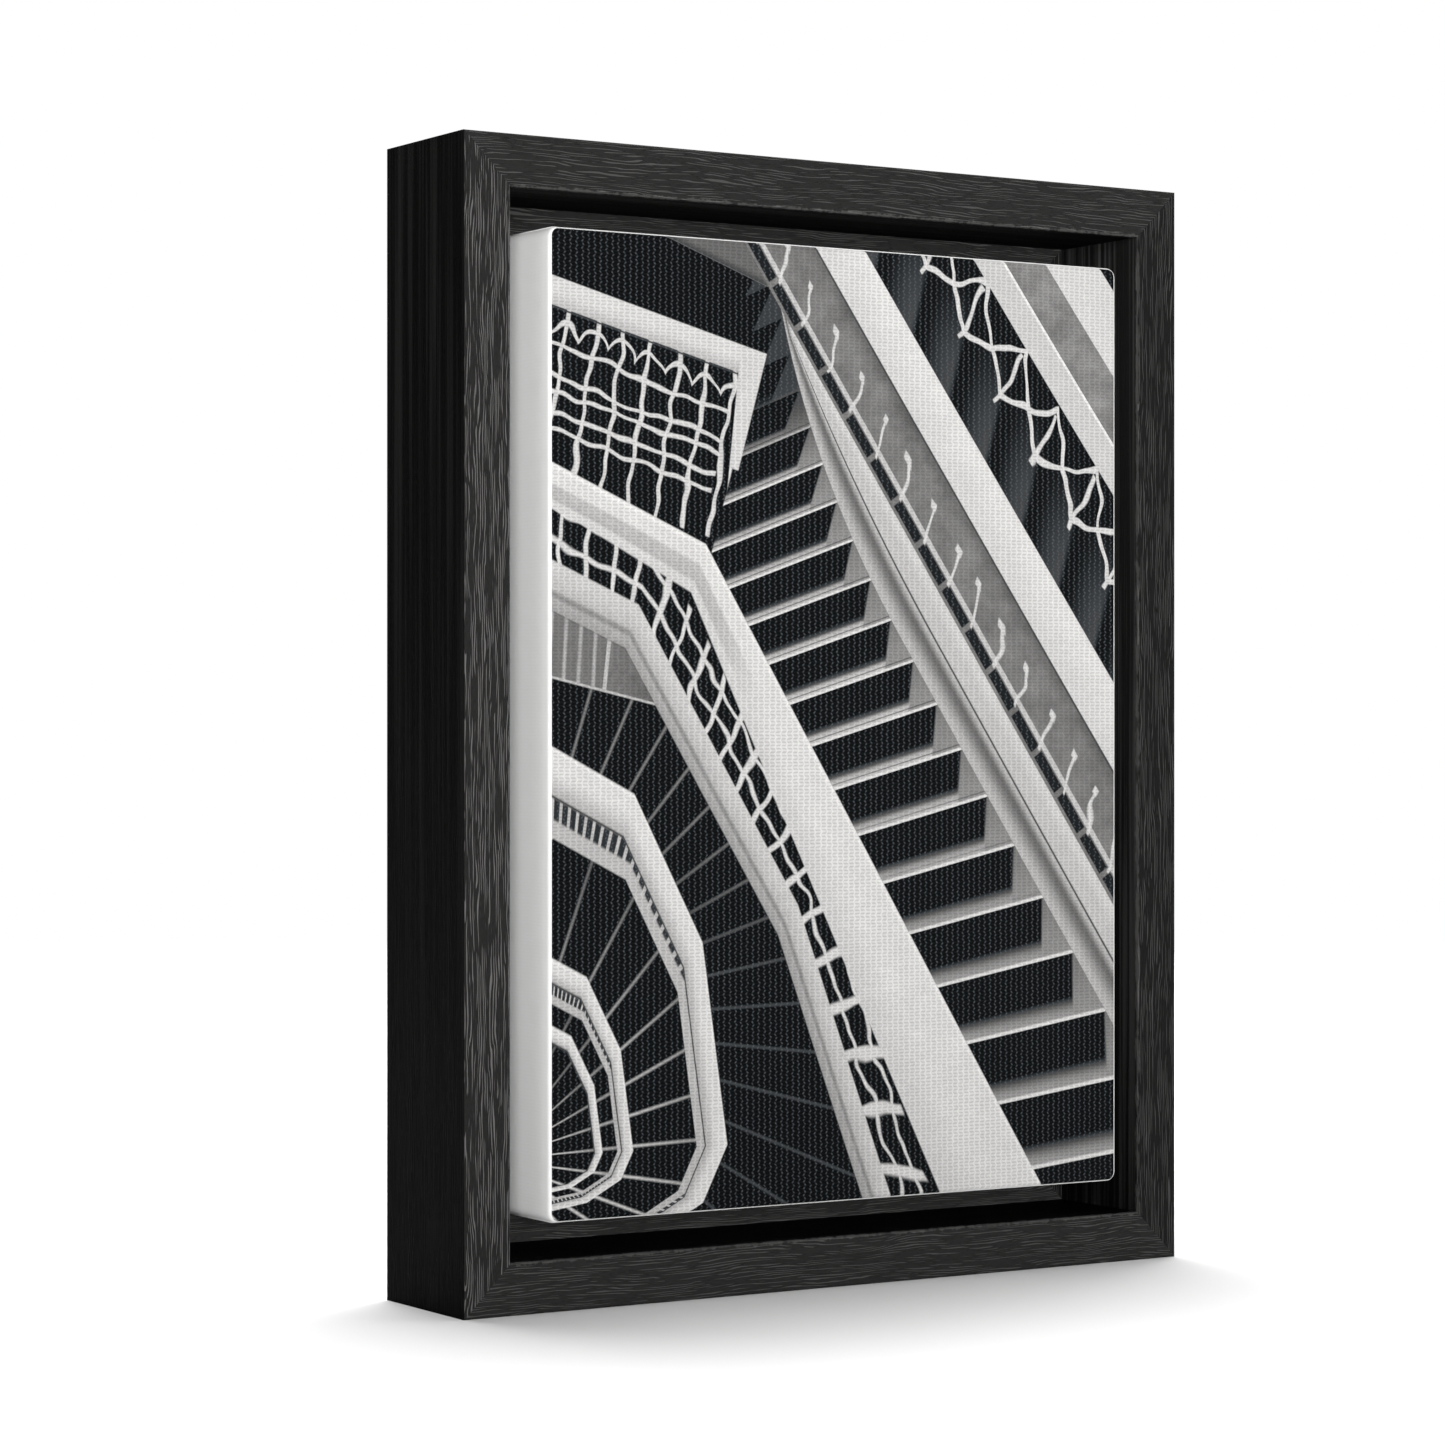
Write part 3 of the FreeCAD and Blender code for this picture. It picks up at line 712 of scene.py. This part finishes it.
def upper_bands(across, cloud, under):
    """The rails that cross the upper right of the picture as straight bands."""
    tone = over(0.60 + across.rise(18, 31) * 0.08, across.between(18.4, 31.1, 0.3), under)
    tone = over(0.045, across.near(18.2, 0.5, 0.4), tone)
    tone = over(0.56, across.between(59.8, 68.2, 0.3), tone)
    tone = over(0.78, across.near(67.8, 0.7, 0.4), tone)
    tone = over(0.06 + cloud * 0.32, across.between(68.3, 79.5, 0.3), tone)
    tone = over(0.62, across.above(79.5, 0.3), tone)
    return over(DARK, across.above(94.5, 0.3), tone)


def landing_panel(x, y, loose, under):
    """The landing's balustrade at the upper left: a pale frame round upright and level rods."""
    level = y + x * 0.262
    edge = x - (y - 157.3) * 0.286
    inside = edge.below(46.2, 0.3) * level.below(169.3, 0.3)
    bent_x, bent_y = loose
    row = bent_y + bent_x * 0.262
    fan = (bent_x - (bent_y - 157.3) * 0.186) / 6.15
    upright = (fan.part() - 0.5).size().below(0.070, 0.05)
    rods = upright * level.between(132, 165, 0.4)
    for height in (156.6, 151.0, 148.5, 144.6, 141.4):
        slope = (edge - 20) * -0.03 + height
        rods = rods.larger((row - slope).size().below(0.40, 0.3) * edge.below(41.5, 0.4))
    bay = (fan.part() - 0.5) * 2
    swag = 161.8 - bay * bay * 2.8
    rods = rods.larger((row - swag).size().below(0.45, 0.35))
    tone = over(0.60, rods, DARK)
    taper = (level - 138).larger(0) * 0.17 + 0.7
    stile = edge.above(46.2 - taper, 0.3) * level.above(139, 0.4)
    rail = level.above(164.0, 0.3)
    frame_tone = 0.46 + level.rise(164, 167) * 0.16
    tone = over(frame_tone, rail, tone)
    tone = over(0.60, stile, tone)
    tone = over(0.035, level.near(163.7, 0.35, 0.3) * edge.below(41, 0.3), tone)
    return over(tone, inside * edge.below(44.8, 0.4).larger(level.above(146, 0.4)), under)


def well_rail(x, y, loose, grain, under):
    """The broad pale rail round the well, with a latticed balustrade on its inner side."""
    rx, ry = ring_place(x, y)
    out = many_sided(rx, ry, WELL_TURNS)
    inside = out.below(RAIL_OUTSIDE, 0.3)
    tone = over(DARK, inside, under)
    near_sides = well_sides(rx, ry)
    bx, by = ring_place(loose[0], loose[1])
    bent = well_sides(bx, by)
    turn = (by.angle_with(bx) / (2 * PI)) * 68 - bent * 0.012
    spoke = (turn.part() - 0.5).size().below(0.085, 0.07)
    hoop = bent.near(59.4, 0.60, 0.35).larger(bent.near(62.6, 0.60, 0.35))
    spoke = spoke * bent.between(56, 64.6, 0.5)
    rods = spoke.larger(hoop)
    strip = near_sides.between(56.5, 67.8, 0.3) * inside
    tone = over(0.62, rods * strip, tone)
    shade = near_sides.rise(50.5, 56.8)
    second = 0.30 + shade * 0.26 - near_sides.near(53.4, 0.7, 0.6) * 0.16 + (grain - 0.5) * 0.12
    treads = radial_lines(rx, y - UPPER_TREADS_Y, UPPER_TREADS, 0.62)
    deep = DARK + treads * (0.045 + 0.14 * (ry / 40).rise(0.2, 0.9))
    tone = over(deep, near_sides.below(INNER_RAIL_INSIDE, 0.4) * inside, tone)
    inner_rail = near_sides.between(INNER_RAIL_INSIDE, INNER_RAIL_OUTSIDE, 0.3)
    tone = over(second, inner_rail * inside, tone)
    width = 5.0 + (125 - y).larger(0) * 0.095
    rail = (RAIL_OUTSIDE - out).below(width, 0.3) * inside
    band = (RAIL_OUTSIDE - out) / width
    shaded = band.between(0.46, 0.80, 0.10) * y.rise(88, 112)
    pale = 0.58 + band.rise(1.0, 0.5) * 0.08 - shaded * (0.12 + grain * 0.14)
    tone = over(pale, rail, tone)
    return over(0.75, out.near(67.2, 0.5, 0.4), tone)


def landing_wall(x, y, grain, under):
    """A small fluted wall behind the well, at the left."""
    flute = 0.16 + ((x / 3.1 - y * 0.02).part() - 0.5).size().rise(0.30, 0.48) * 0.22
    rx, ry = ring_place(x, y)
    within = well_sides(rx, ry).below(INNER_RAIL_INSIDE, 0.4)
    foot = 97.5 - x * 0.22
    slant = x - 11.0 - (y - 96) * 0.12
    tall = y.above(foot, 0.3) * y.below(114.5, 0.3)
    tone = over(0.10 + grain * 0.14 - slant * 0.004, slant.between(0, 13, 0.3) * tall, under)
    tone = over(flute * (0.8 + grain * 0.4), slant.below(0, 0.3) * tall, tone)
    tone = over(0.46, slant.near(0.5, 0.8, 0.3) * tall, tone)
    tone = over(0.46, (y - foot).near(0, 0.45, 0.3) * slant.below(13, 0.3), tone)
    return over(tone, within, under)


def picture_group():
    """The whole print. Place is in millimetres from the lower left corner of the cloth's front."""
    tree, start, end = new_group(
        "stairwell_print",
        [("Place", "NodeSocketVector", (0, 0, 0))],
        [("Tone", "NodeSocketFloat"), ("Printed", "NodeSocketFloat")],
    )
    x, y, _ = split(tree, start.outputs["Place"])
    cloud = noise_of(tree, start.outputs["Place"], 0.16, 5.0, 0.66)
    grain = noise_of(tree, join(tree, x * 0.9, y * 0.5, 0.0), 1.0, 3.0, 0.6)
    sway = (noise_of(tree, start.outputs["Place"], 0.13, 1.0) - 0.5) * 3.6
    heave = (noise_of(tree, join(tree, y + 40, x - 70, 9.0), 0.13, 1.0) - 0.5) * 3.6
    loose = (x + sway, y + heave)
    depth = FAR_UP - y
    sideways = x + FAR_LEFT
    across = sideways / depth * FAR_REACH - RAIL_ZERO
    along = (sideways * sideways + depth * depth).root() - 860
    rx, ry = ring_place(x, y)
    haze = radial_lines(rx, ry, LOWER_TREADS, 2.2)
    tone = DARK + haze * y.rise(130, 175) * 0.040
    tone = straight_flight(x, y, across, tone)
    tone = landing_panel(x, y, loose, tone)
    tone = well_rail(x, y, loose, grain, tone)
    tone = landing_wall(x, y, grain, tone)
    for radius in LOWER_RAILS:
        tone = well_storey(x, y, radius, tone, radius > LOWER_RAILS[-1])
    tone = wall_string(x, y, across, tone)
    tone = thorn_rail(across, along, (sway, heave), cloud, tone)
    tone = truss_strip(across, along, (sway, heave), tone)
    tone = upper_bands(across, cloud, tone)
    tone = tone * (0.60 + cloud * 0.14)
    half_x = CLOTH_HALF_WIDTH / MM
    half_y = CLOTH_HALF_HEIGHT / MM
    past_x = (x - half_x).size() - (half_x - PRINT_MARGIN_ACROSS - PRINT_CORNER)
    past_y = (y - half_y).size() - (half_y - PRINT_MARGIN_UP - PRINT_CORNER)
    corner_x = past_x.larger(0)
    corner_y = past_y.larger(0)
    round_off = (corner_x * corner_x + corner_y * corner_y).root()
    printed = round_off.below(PRINT_CORNER, 0.12)
    tree.links.new(tone.socket, end.inputs["Tone"])
    tree.links.new(printed.socket, end.inputs["Printed"])
    return tree


# ---------------------------------------------------------------- canvas cloth


def weave_group():
    """Plain weave. Place is in millimetres across the cloth as it was cut."""
    tree, start, end = new_group(
        "canvas_weave",
        [
            ("Place", "NodeSocketVector", (0, 0, 0)),
            ("Across", "NodeSocketFloat", 1.2),
            ("Up", "NodeSocketFloat", 0.63),
        ],
        [
            ("Thread", "NodeSocketFloat"),
            ("Gap", "NodeSocketFloat"),
            ("Height", "NodeSocketFloat"),
        ],
    )
    x, y, _ = split(tree, start.outputs["Place"])
    wander = noise_of(tree, start.outputs["Place"], 0.35, 2.0)
    uneven = noise_of(tree, join(tree, x * 1.4, y * 0.12, 0.0), 1.0, 2.0)
    pull = noise_of(tree, join(tree, x * 0.12, y * 2.0, 0.0), 1.0, 2.0)
    u = (x + (wander - 0.5) * 0.5) / Amount(tree, start.outputs["Across"])
    v = (y + (wander - 0.5) * 0.3) / Amount(tree, start.outputs["Up"])
    swing = (v * PI).sine()
    column = (u + swing * 0.13).part()
    warp = (column - 0.5).size().rise(0.21, 0.04)
    bead = (v * (2 * PI) + u.whole() * PI).sine() * 0.5 + 0.5
    weft = (v.part() - 0.5).size().rise(0.5, 0.12) * (0.5 + pull)
    thread = warp * (0.12 + bead * 0.88) * (0.35 + uneven * 1.3) + weft * (1 - warp) * 0.05
    gap = (1 - warp) * (1 - weft * 0.7)
    height = warp * bead * 0.6 + weft * (1 - bead) * 0.5
    tree.links.new(thread.socket, end.inputs["Thread"])
    tree.links.new(gap.socket, end.inputs["Gap"])
    tree.links.new(height.socket, end.inputs["Height"])
    return tree


def cut_place(tree):
    """Millimetres over the cloth as it was cut, from the lower left corner of its front."""
    uv = tree.nodes.new("ShaderNodeUVMap")
    uv.uv_map = "cut"
    u, v, _ = split(tree, uv.outputs["UV"])
    x = (u - 0.5) * (UV_SPAN / MM) + CLOTH_HALF_WIDTH / MM
    y = (v - 0.5) * (UV_SPAN / MM) + CLOTH_HALF_HEIGHT / MM
    return join(tree, x, y, 0.0)


def printed_cloth(weave, picture):
    """Primed white cloth with the print on its front."""
    material, tree, shader = new_material("printed_canvas")
    place = cut_place(tree)
    marks = place_group(tree, weave, {"Place": place, "Across": 1.25, "Up": 0.63})
    thread = Amount(tree, marks.outputs["Thread"])
    gap = Amount(tree, marks.outputs["Gap"])
    height = Amount(tree, marks.outputs["Height"])
    print_node = place_group(tree, picture, {"Place": place})
    tone = Amount(tree, print_node.outputs["Tone"])
    printed = Amount(tree, print_node.outputs["Printed"])
    darkness = tone.rise(0.06, 0.004)
    patchy = noise_of(tree, place, 0.9, 3.0, 0.6)
    inked = tone * (0.92 + patchy * 0.26 - gap * 0.34 * (1 - darkness))
    # Painted highlight: where the ink is dark, the raised threads are painted lighter, as if they
    # caught the light.
    inked = inked + thread * (0.026 + patchy * 0.024) * darkness
    cool = inked * (0.985 + darkness * 0.16)
    cooler = inked * (0.972 + darkness * 0.30)
    ink = join(tree, inked, cool, cooler)
    # Painted light: the bare white is painted darker near the front edge and lighter up to 14 mm deep,
    # to even out the shade the frame throws into the gap; from 17 mm to 25 mm deep it turns darker
    # again.
    deep = split(tree, object_place(tree))[1] - CLOTH_FRONT
    white = 0.69 + deep.rise(0, 14 * MM) * 0.30
    white = white - deep.rise(17 * MM, 25 * MM) * 0.16 - gap * 0.02
    bare = join(tree, white, white, white * 0.99)
    tree.links.new(blend(tree, printed, bare, ink), shader.inputs["Base Color"])
    rough = 0.72 - darkness * printed * 0.12
    tree.links.new(rough.socket, shader.inputs["Roughness"])
    shader.inputs["Specular IOR Level"].default_value = 0.02
    lift = height * (0.25 + printed * 0.75)
    tree.links.new(bump(tree, lift, 0.10 * MM, 0.45), shader.inputs["Normal"])
    return material


def raw_cloth(weave):
    """The unprimed side of the cloth and its cut edges."""
    material, tree, shader = new_material("raw_canvas")
    marks = place_group(tree, weave, {"Place": cut_place(tree), "Across": 0.9, "Up": 0.63})
    thread = Amount(tree, marks.outputs["Thread"])
    gap = Amount(tree, marks.outputs["Gap"])
    slub = noise_of(tree, object_place(tree), 140.0, 4.0, 0.6)
    cotton = blend(tree, slub, (0.60, 0.55, 0.45, 1), (0.70, 0.66, 0.56, 1))
    cotton = blend(tree, gap * 0.45, cotton, (0.34, 0.29, 0.21, 1))
    tree.links.new(cotton, shader.inputs["Base Color"])
    rough = 0.86 - thread * 0.05
    tree.links.new(rough.socket, shader.inputs["Roughness"])
    shader.inputs["Specular IOR Level"].default_value = 0.1
    height = Amount(tree, marks.outputs["Height"])
    tree.links.new(bump(tree, height, 0.16 * MM, 0.6), shader.inputs["Normal"])
    return material


def edge_way(point):
    """The nearest place on the cloth's squared core, and the way straight out from it."""
    core_x = CLOTH_HALF_WIDTH - CORNER_RADIUS
    core_z = CLOTH_HALF_HEIGHT - CORNER_RADIUS
    base_x = max(-core_x, min(core_x, point.x))
    base_z = max(-core_z, min(core_z, point.z))
    base = Vector((base_x, 0.0, base_z))
    way = Vector((point.x, 0.0, point.z)) - base
    return base, way.normalized()


def start_front(bm):
    """The flat front of the cloth with its rounded corners, cut into a fine net."""
    inset = FRONT_EDGE_RADIUS
    half_x = CLOTH_HALF_WIDTH - inset
    half_z = CLOTH_HALF_HEIGHT - inset
    made = bmesh.ops.create_grid(bm, x_segments=1, y_segments=1, size=1.0)
    for vert in made["verts"]:
        vert.co = Vector((vert.co.x * half_x, 0.0, vert.co.y * half_z))
    bmesh.ops.bevel(
        bm,
        geom=list(bm.verts),
        offset=CORNER_RADIUS - inset,
        affect="VERTICES",
        segments=5,
        profile=0.5,
        material=-1,
    )
    for axis, half, pieces in ((0, half_x, 44), (2, half_z, 60)):
        normal = Vector((0, 0, 0))
        normal[axis] = 1
        reach = half - (CORNER_RADIUS - inset)
        for k in range(pieces + 1):
            point = normal * (-reach + 2 * reach * k / pieces)
            bmesh.ops.bisect_plane(
                bm,
                geom=list(bm.verts) + list(bm.edges) + list(bm.faces),
                plane_co=point,
                plane_no=normal,
                dist=1e-7,
            )


def wrap_profile():
    """Steps from the front sheet to the end of the flap: inset, depth, length of cloth used."""
    steps = []
    for k in range(1, 6):
        turn = k / 5 * PI / 2
        inset = FRONT_EDGE_RADIUS * (1 - math.sin(turn))
        back = FRONT_EDGE_RADIUS * (1 - math.cos(turn))
        steps.append((inset, back))
    side_end = CLOTH_DEPTH - BACK_EDGE_RADIUS
    for k in range(1, 9):
        steps.append((0.0, FRONT_EDGE_RADIUS + (side_end - FRONT_EDGE_RADIUS) * k / 8))
    for k in range(1, 5):
        turn = k / 4 * PI / 2
        inset = BACK_EDGE_RADIUS * (1 - math.cos(turn))
        back = side_end + BACK_EDGE_RADIUS * math.sin(turn)
        steps.append((inset, back))
    for k in range(1, 13):
        inset = BACK_EDGE_RADIUS + (FLAP_WIDTH - BACK_EDGE_RADIUS) * k / 12
        steps.append((inset, CLOTH_DEPTH))
    return steps


def wrap_cloth(bm):
    """Carry the edge of the front round the bars, one ring of cloth at a time."""
    cut = bm.verts.layers.float_vector.new("cut_place")
    way_layer = bm.verts.layers.float_vector.new("cut_way")
    for vert in bm.verts:
        vert[cut] = vert.co
        vert[way_layer] = edge_way(vert.co)[1]
    at_inset = FRONT_EDGE_RADIUS
    at_depth = 0.0
    rim = [edge for edge in bm.edges if edge.is_boundary]
    for inset, depth in wrap_profile():
        made = bmesh.ops.extrude_edge_only(bm, edges=rim)
        verts = [item for item in made["geom"] if isinstance(item, bmesh.types.BMVert)]
        rim = [item for item in made["geom"] if isinstance(item, bmesh.types.BMEdge)]
        rim = [edge for edge in rim if edge.is_boundary]
        used = math.hypot(inset - at_inset, depth - at_depth)
        flat_back = inset > BACK_EDGE_RADIUS + 1e-9 and depth > FRONT_EDGE_RADIUS
        for vert in verts:
            if flat_back:
                vert.co.x *= (CLOTH_HALF_WIDTH - inset) / (CLOTH_HALF_WIDTH - at_inset)
                vert.co.z *= (CLOTH_HALF_HEIGHT - inset) / (CLOTH_HALF_HEIGHT - at_inset)
                vert.co.y = depth
            else:
                base, way = edge_way(vert.co)
                vert.co = base + way * (CORNER_RADIUS - inset)
                vert.co.y = depth
            vert[cut] = Vector(vert[cut]) + Vector(vert[way_layer]) * used
        at_inset = inset
        at_depth = depth


def write_cut_map(bm):
    """A UV map in which the cloth lies flat, as it was cut."""
    cut = bm.verts.layers.float_vector["cut_place"]
    uv = bm.loops.layers.uv.new("cut")
    for face in bm.faces:
        for loop in face.loops:
            place = loop.vert[cut]
            loop[uv].uv = (0.5 + place[0] / UV_SPAN, 0.5 + place[2] / UV_SPAN)


STAPLE_HALF = 5 * MM
STAPLE_REACH = 4.0 * MM
STAPLE_SINK = 0.14 * MM
FRONT_DIP = 0.20 * MM
FRONT_RIPPLE = 0.09 * MM
SIDE_RIPPLE = 0.10 * MM
FRAY_REACH = 4.5 * MM
FRAY_WANDER = 0.45 * MM
FRAY_FINE = 0.22 * MM


def staple_places():
    """The middle of each staple's crown, from the model's staple rows."""
    places = []
    for name, count, axis in (
        ("staples_top", 3, 0),
        ("staples_bottom", 3, 0),
        ("staples_left", 4, 2),
        ("staples_right", 4, 2),
    ):
        low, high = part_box(name)
        for k in range(count):
            middle = (low + high) / 2
            first = low[axis] + STAPLE_HALF
            last = high[axis] - STAPLE_HALF
            middle[axis] = first + (last - first) * k / (count - 1)
            places.append(Vector((middle.x, 0.0, middle.z - CLOTH_MIDDLE)))
    return places


def settle_cloth(bm):
    """Let the cloth dip between the bars, ripple a little at the sides and sink at the staples."""
    staples = staple_places()
    for vert in bm.verts:
        x, y, z = vert.co
        fx = min(1.0, abs(x) / (CLOTH_HALF_WIDTH - FRONT_EDGE_RADIUS))
        fz = min(1.0, abs(z) / (CLOTH_HALF_HEIGHT - FRONT_EDGE_RADIUS))
        if y < 1e-7:
            dip = (1 - fx**6) * (1 - fz**6)
            ripple = noise.noise(Vector((x * 22, z * 22, 1.0)))
            vert.co.y += (FRONT_DIP + FRONT_RIPPLE * ripple) * dip
        elif y > CLOTH_DEPTH - 1e-6:
            sink = 0.0
            for staple in staples:
                off = (Vector((x, 0, z)) - staple).length
                sink = max(sink, math.exp(-((off / STAPLE_REACH) ** 2)))
            vert.co.y -= STAPLE_SINK * sink
            edge = max(
                abs(x) - (CLOTH_HALF_WIDTH - FLAP_WIDTH),
                abs(z) - (CLOTH_HALF_HEIGHT - FLAP_WIDTH),
            )
            fray = max(0.0, 1 - edge / FRAY_REACH)
            wander = noise.noise(Vector((x * 90, z * 90, 4.0)))
            fine = noise.noise(Vector((x * 420, z * 420, 9.0)))
            push = fray * (FRAY_WANDER * wander + FRAY_FINE * fine)
            if fx > 0.6:
                vert.co.x += math.copysign(push, x)
            if fz > 0.7:
                vert.co.z += math.copysign(push, z)
        else:
            _, way = edge_way(vert.co)
            along = z if abs(way.x) > 0.7 else x
            ripple = noise.noise(Vector((along * 30, y * 30, 7.0 + way.x)))
            fade = math.sin(PI * min(1.0, y / CLOTH_DEPTH))
            vert.co -= way * (SIDE_RIPPLE * abs(ripple) * fade)


def finish_cloth_object(bm, name, materials):
    """Carry a piece of cloth to its place on the bars and give it its materials."""
    for vert in bm.verts:
        vert.co.y += CLOTH_FRONT
        vert.co.z += CLOTH_MIDDLE
    mesh = bpy.data.meshes.new(name)
    for face in bm.faces:
        face.smooth = True
    bm.to_mesh(mesh)
    bm.free()
    for material in materials:
        mesh.materials.append(material)
    piece = bpy.data.objects.new(name, mesh)
    bpy.context.collection.objects.link(piece)
    return piece


def stretch_canvas(materials):
    """The one cloth: front, four sides and flaps, with its real thickness."""
    bm = bmesh.new()
    start_front(bm)
    wrap_cloth(bm)
    write_cut_map(bm)
    settle_cloth(bm)
    front = min(bm.faces, key=lambda face: face.calc_center_median().length)
    bmesh.ops.recalc_face_normals(bm, faces=list(bm.faces))
    front.normal_update()
    if front.normal.y > 0:
        bmesh.ops.reverse_faces(bm, faces=list(bm.faces))
    piece = finish_cloth_object(bm, "canvas_cloth", materials)
    wall = piece.modifiers.new("cloth_thickness", "SOLIDIFY")
    wall.thickness = CLOTH_THICKNESS
    wall.offset = -1.0
    wall.material_offset = 1
    wall.material_offset_rim = 1
    return piece


def fold_outline(bm, points, way, thickness):
    """A thin folded layer over the given outline, with its upper edges rounded."""
    verts = [bm.verts.new(point) for point in points]
    face = bm.faces.new(verts)
    made = bmesh.ops.extrude_face_region(bm, geom=[face])
    top = [item for item in made["geom"] if isinstance(item, bmesh.types.BMVert)]
    bmesh.ops.translate(bm, verts=top, vec=Vector(way) * thickness)
    bmesh.ops.recalc_face_normals(bm, faces=list(bm.faces))
    top_set = set(top)
    lip = [e for e in bm.edges if e.verts[0] in top_set and e.verts[1] in top_set]
    bmesh.ops.bevel(
        bm, geom=lip, offset=thickness * 0.45, affect="EDGES", segments=3, profile=0.5, material=-1
    )


PLEAT_SETBACK = 2.2 * MM
PLEAT_SUNK = 0.12 * MM
PLEAT_START = 3.0 * MM
PLEAT_END = CLOTH_DEPTH - 0.9 * MM
PLEAT_NARROW = 1.2 * MM
PLEAT_WIDE = 12.5 * MM
FOLD_SUNK = 0.05 * MM
FOLD_REACH = 6.6 * MM
FOLD_WIDTH = 3.0 * MM
FOLD_THICKNESS = 0.42 * MM
CORNERS = (
    (1, "top", -1, "left"),
    (1, "top", 1, "right"),
    (-1, "bottom", -1, "left"),
    (-1, "bottom", 1, "right"),
)


def map_fold(bm, place_of):
    """Write the map of a folded piece, from a rule that lays each point of it flat."""
    uv = bm.loops.layers.uv.new("cut")
    for face in bm.faces:
        for loop in face.loops:
            across, up = place_of(loop.vert.co)
            loop[uv].uv = (0.5 + across / UV_SPAN, 0.5 + up / UV_SPAN)


def corner_folds(materials):
    """The pleat that each spare corner makes on the top or bottom side."""
    pieces = []
    for side_z, level, side_x, hand in CORNERS:
        bm = bmesh.new()
        edge_x = side_x * (CLOTH_HALF_WIDTH - PLEAT_SETBACK)
        base_z = side_z * (CLOTH_HALF_HEIGHT - PLEAT_SUNK)
        pleat = [
            (edge_x, PLEAT_START, base_z),
            (edge_x - side_x * PLEAT_NARROW, PLEAT_START, base_z),
            (edge_x - side_x * PLEAT_WIDE, PLEAT_END, base_z),
            (edge_x, PLEAT_END, base_z),
        ]
        fold_outline(bm, pleat, (0, 0, side_z), CLOTH_THICKNESS)
        map_fold(bm, lambda at: (at.x, at.z + side_z * at.y))
        pieces.append(finish_cloth_object(bm, f"canvas_pleat_{level}_{hand}", materials[:1]))
    return pieces


def back_folds(materials):
    """What shows of the mitred folds where two flaps meet on the back."""
    pieces = []
    back = CLOTH_DEPTH - FOLD_SUNK
    inner_x = CLOTH_HALF_WIDTH - FLAP_WIDTH
    inner_z = CLOTH_HALF_HEIGHT - FLAP_WIDTH
    for side_z, level, side_x, hand in CORNERS:
        bm = bmesh.new()
        outline = [
            (side_x * (inner_x + 0.3 * MM), back, side_z * (inner_z + 0.1 * MM)),
            (side_x * (inner_x + FOLD_REACH), back, side_z * (inner_z + FOLD_REACH)),
            (side_x * (inner_x + FOLD_REACH), back, side_z * (inner_z + FOLD_REACH - FOLD_WIDTH)),
            (side_x * (inner_x + 3.2 * MM), back, side_z * (inner_z - 0.1 * MM)),
        ]
        fold_outline(bm, outline, (0, 1, 0), FOLD_THICKNESS)
        map_fold(
            bm,
            lambda at: (
                side_x * (2 * CLOTH_HALF_WIDTH + back - abs(at.x)),
                side_z * (2 * CLOTH_HALF_HEIGHT + back - abs(at.z)),
            ),
        )
        pieces.append(finish_cloth_object(bm, f"canvas_fold_{level}_{hand}", materials[:1]))
    return pieces


# ---------------------------------------------------------------- putting it together


def give(node, material):
    """Put a material on a CAD node."""
    piece = bpy.data.objects[node]
    piece.data.materials.clear()
    piece.data.materials.append(material)


def finish_frame(grain, arris_highlight):
    """Each member gets a face tone, a side tone and a grain relief. The face tones are painted light:
    the left stile lightest and the right stile darkest, as the light falls off to the right. The right
    stile's high side tone is painted light that lifts its shaded inner wall, and its outer side with
    it.
    """
    for name, turned, tones, relief in (
        ("frame_rail_top", False, (0.60, 1.0), 0.88),
        ("frame_rail_bottom", False, (0.62, 1.0), 0.85),
        ("frame_stile_left", True, (0.96, 0.72), 1.28),
        # Painted light: the right stile's darker face tone, and its side tone of 4.8 lifting its shaded
        # inner wall.
        ("frame_stile_right", True, (0.44, 4.8), 1.15),
    ):
        material_name = name.replace("frame", "stained_wood")
        give(name, stained_wood(material_name, turned, tones, relief, grain, arris_highlight))


def finish_bars(grain):
    """Pine on the stretcher bars, with its grain along each bar."""
    level = pine("bare_pine_level", False, grain)
    upright = pine("bare_pine_upright", True, grain)
    for name in ("stretcher_bar_top", "stretcher_bar_bottom"):
        give(name, level)
    for name in ("stretcher_bar_left", "stretcher_bar_right"):
        give(name, upright)


def finish_hardware():
    """Metal on the nails, screws, staples and hanger, and rubber on the bumpers."""
    wedge = metal("wedge_steel", (0.58, 0.58, 0.59), (0.40, 0.39, 0.38), 0.45, 1.5 * MM)
    zinc = metal("zinc_steel", (0.66, 0.65, 0.62), (0.46, 0.46, 0.46), 0.32, 0.8 * MM)
    wire = metal("staple_wire", (0.66, 0.66, 0.67), (0.54, 0.54, 0.55), 0.30, 3.0 * MM)
    steel = metal("hanger_steel", (0.58, 0.58, 0.58), (0.36, 0.36, 0.37), 0.36, 1.2 * MM)
    brass = metal("brass_nail", (0.72, 0.52, 0.22), (0.48, 0.32, 0.12), 0.30, 0.5 * MM)
    for level in ("top", "bottom"):
        give(f"staples_{level}", wire)
        for hand in ("left", "right"):
            give(f"wedge_nails_{level}_{hand}", wedge)
            give(f"mounting_screw_{level}_{hand}", zinc)
    pad = clear_rubber()
    for hand in ("left", "right"):
        give(f"staples_{hand}", wire)
        give(f"hanger_nail_{hand}", brass)
        give(f"wall_bumper_{hand}", pad)
    give("sawtooth_hanger", steel)


def finish_canvas():
    """Stretch the cloth over the bars in place of the plain canvas node."""
    weave = weave_group()
    picture = picture_group()
    cloths = [printed_cloth(weave, picture), raw_cloth(weave)]
    cloth = stretch_canvas(cloths)
    folds = corner_folds(cloths) + back_folds(cloths)
    for piece in [cloth] + folds:
        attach(piece, "root")
    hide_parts("canvas")


set_camera()
lay_floor()
set_lights()
wood_grain = wood_grain_group()
finish_frame(wood_grain, painted_edge_highlight_group())
finish_bars(wood_grain)
finish_hardware()
finish_canvas()
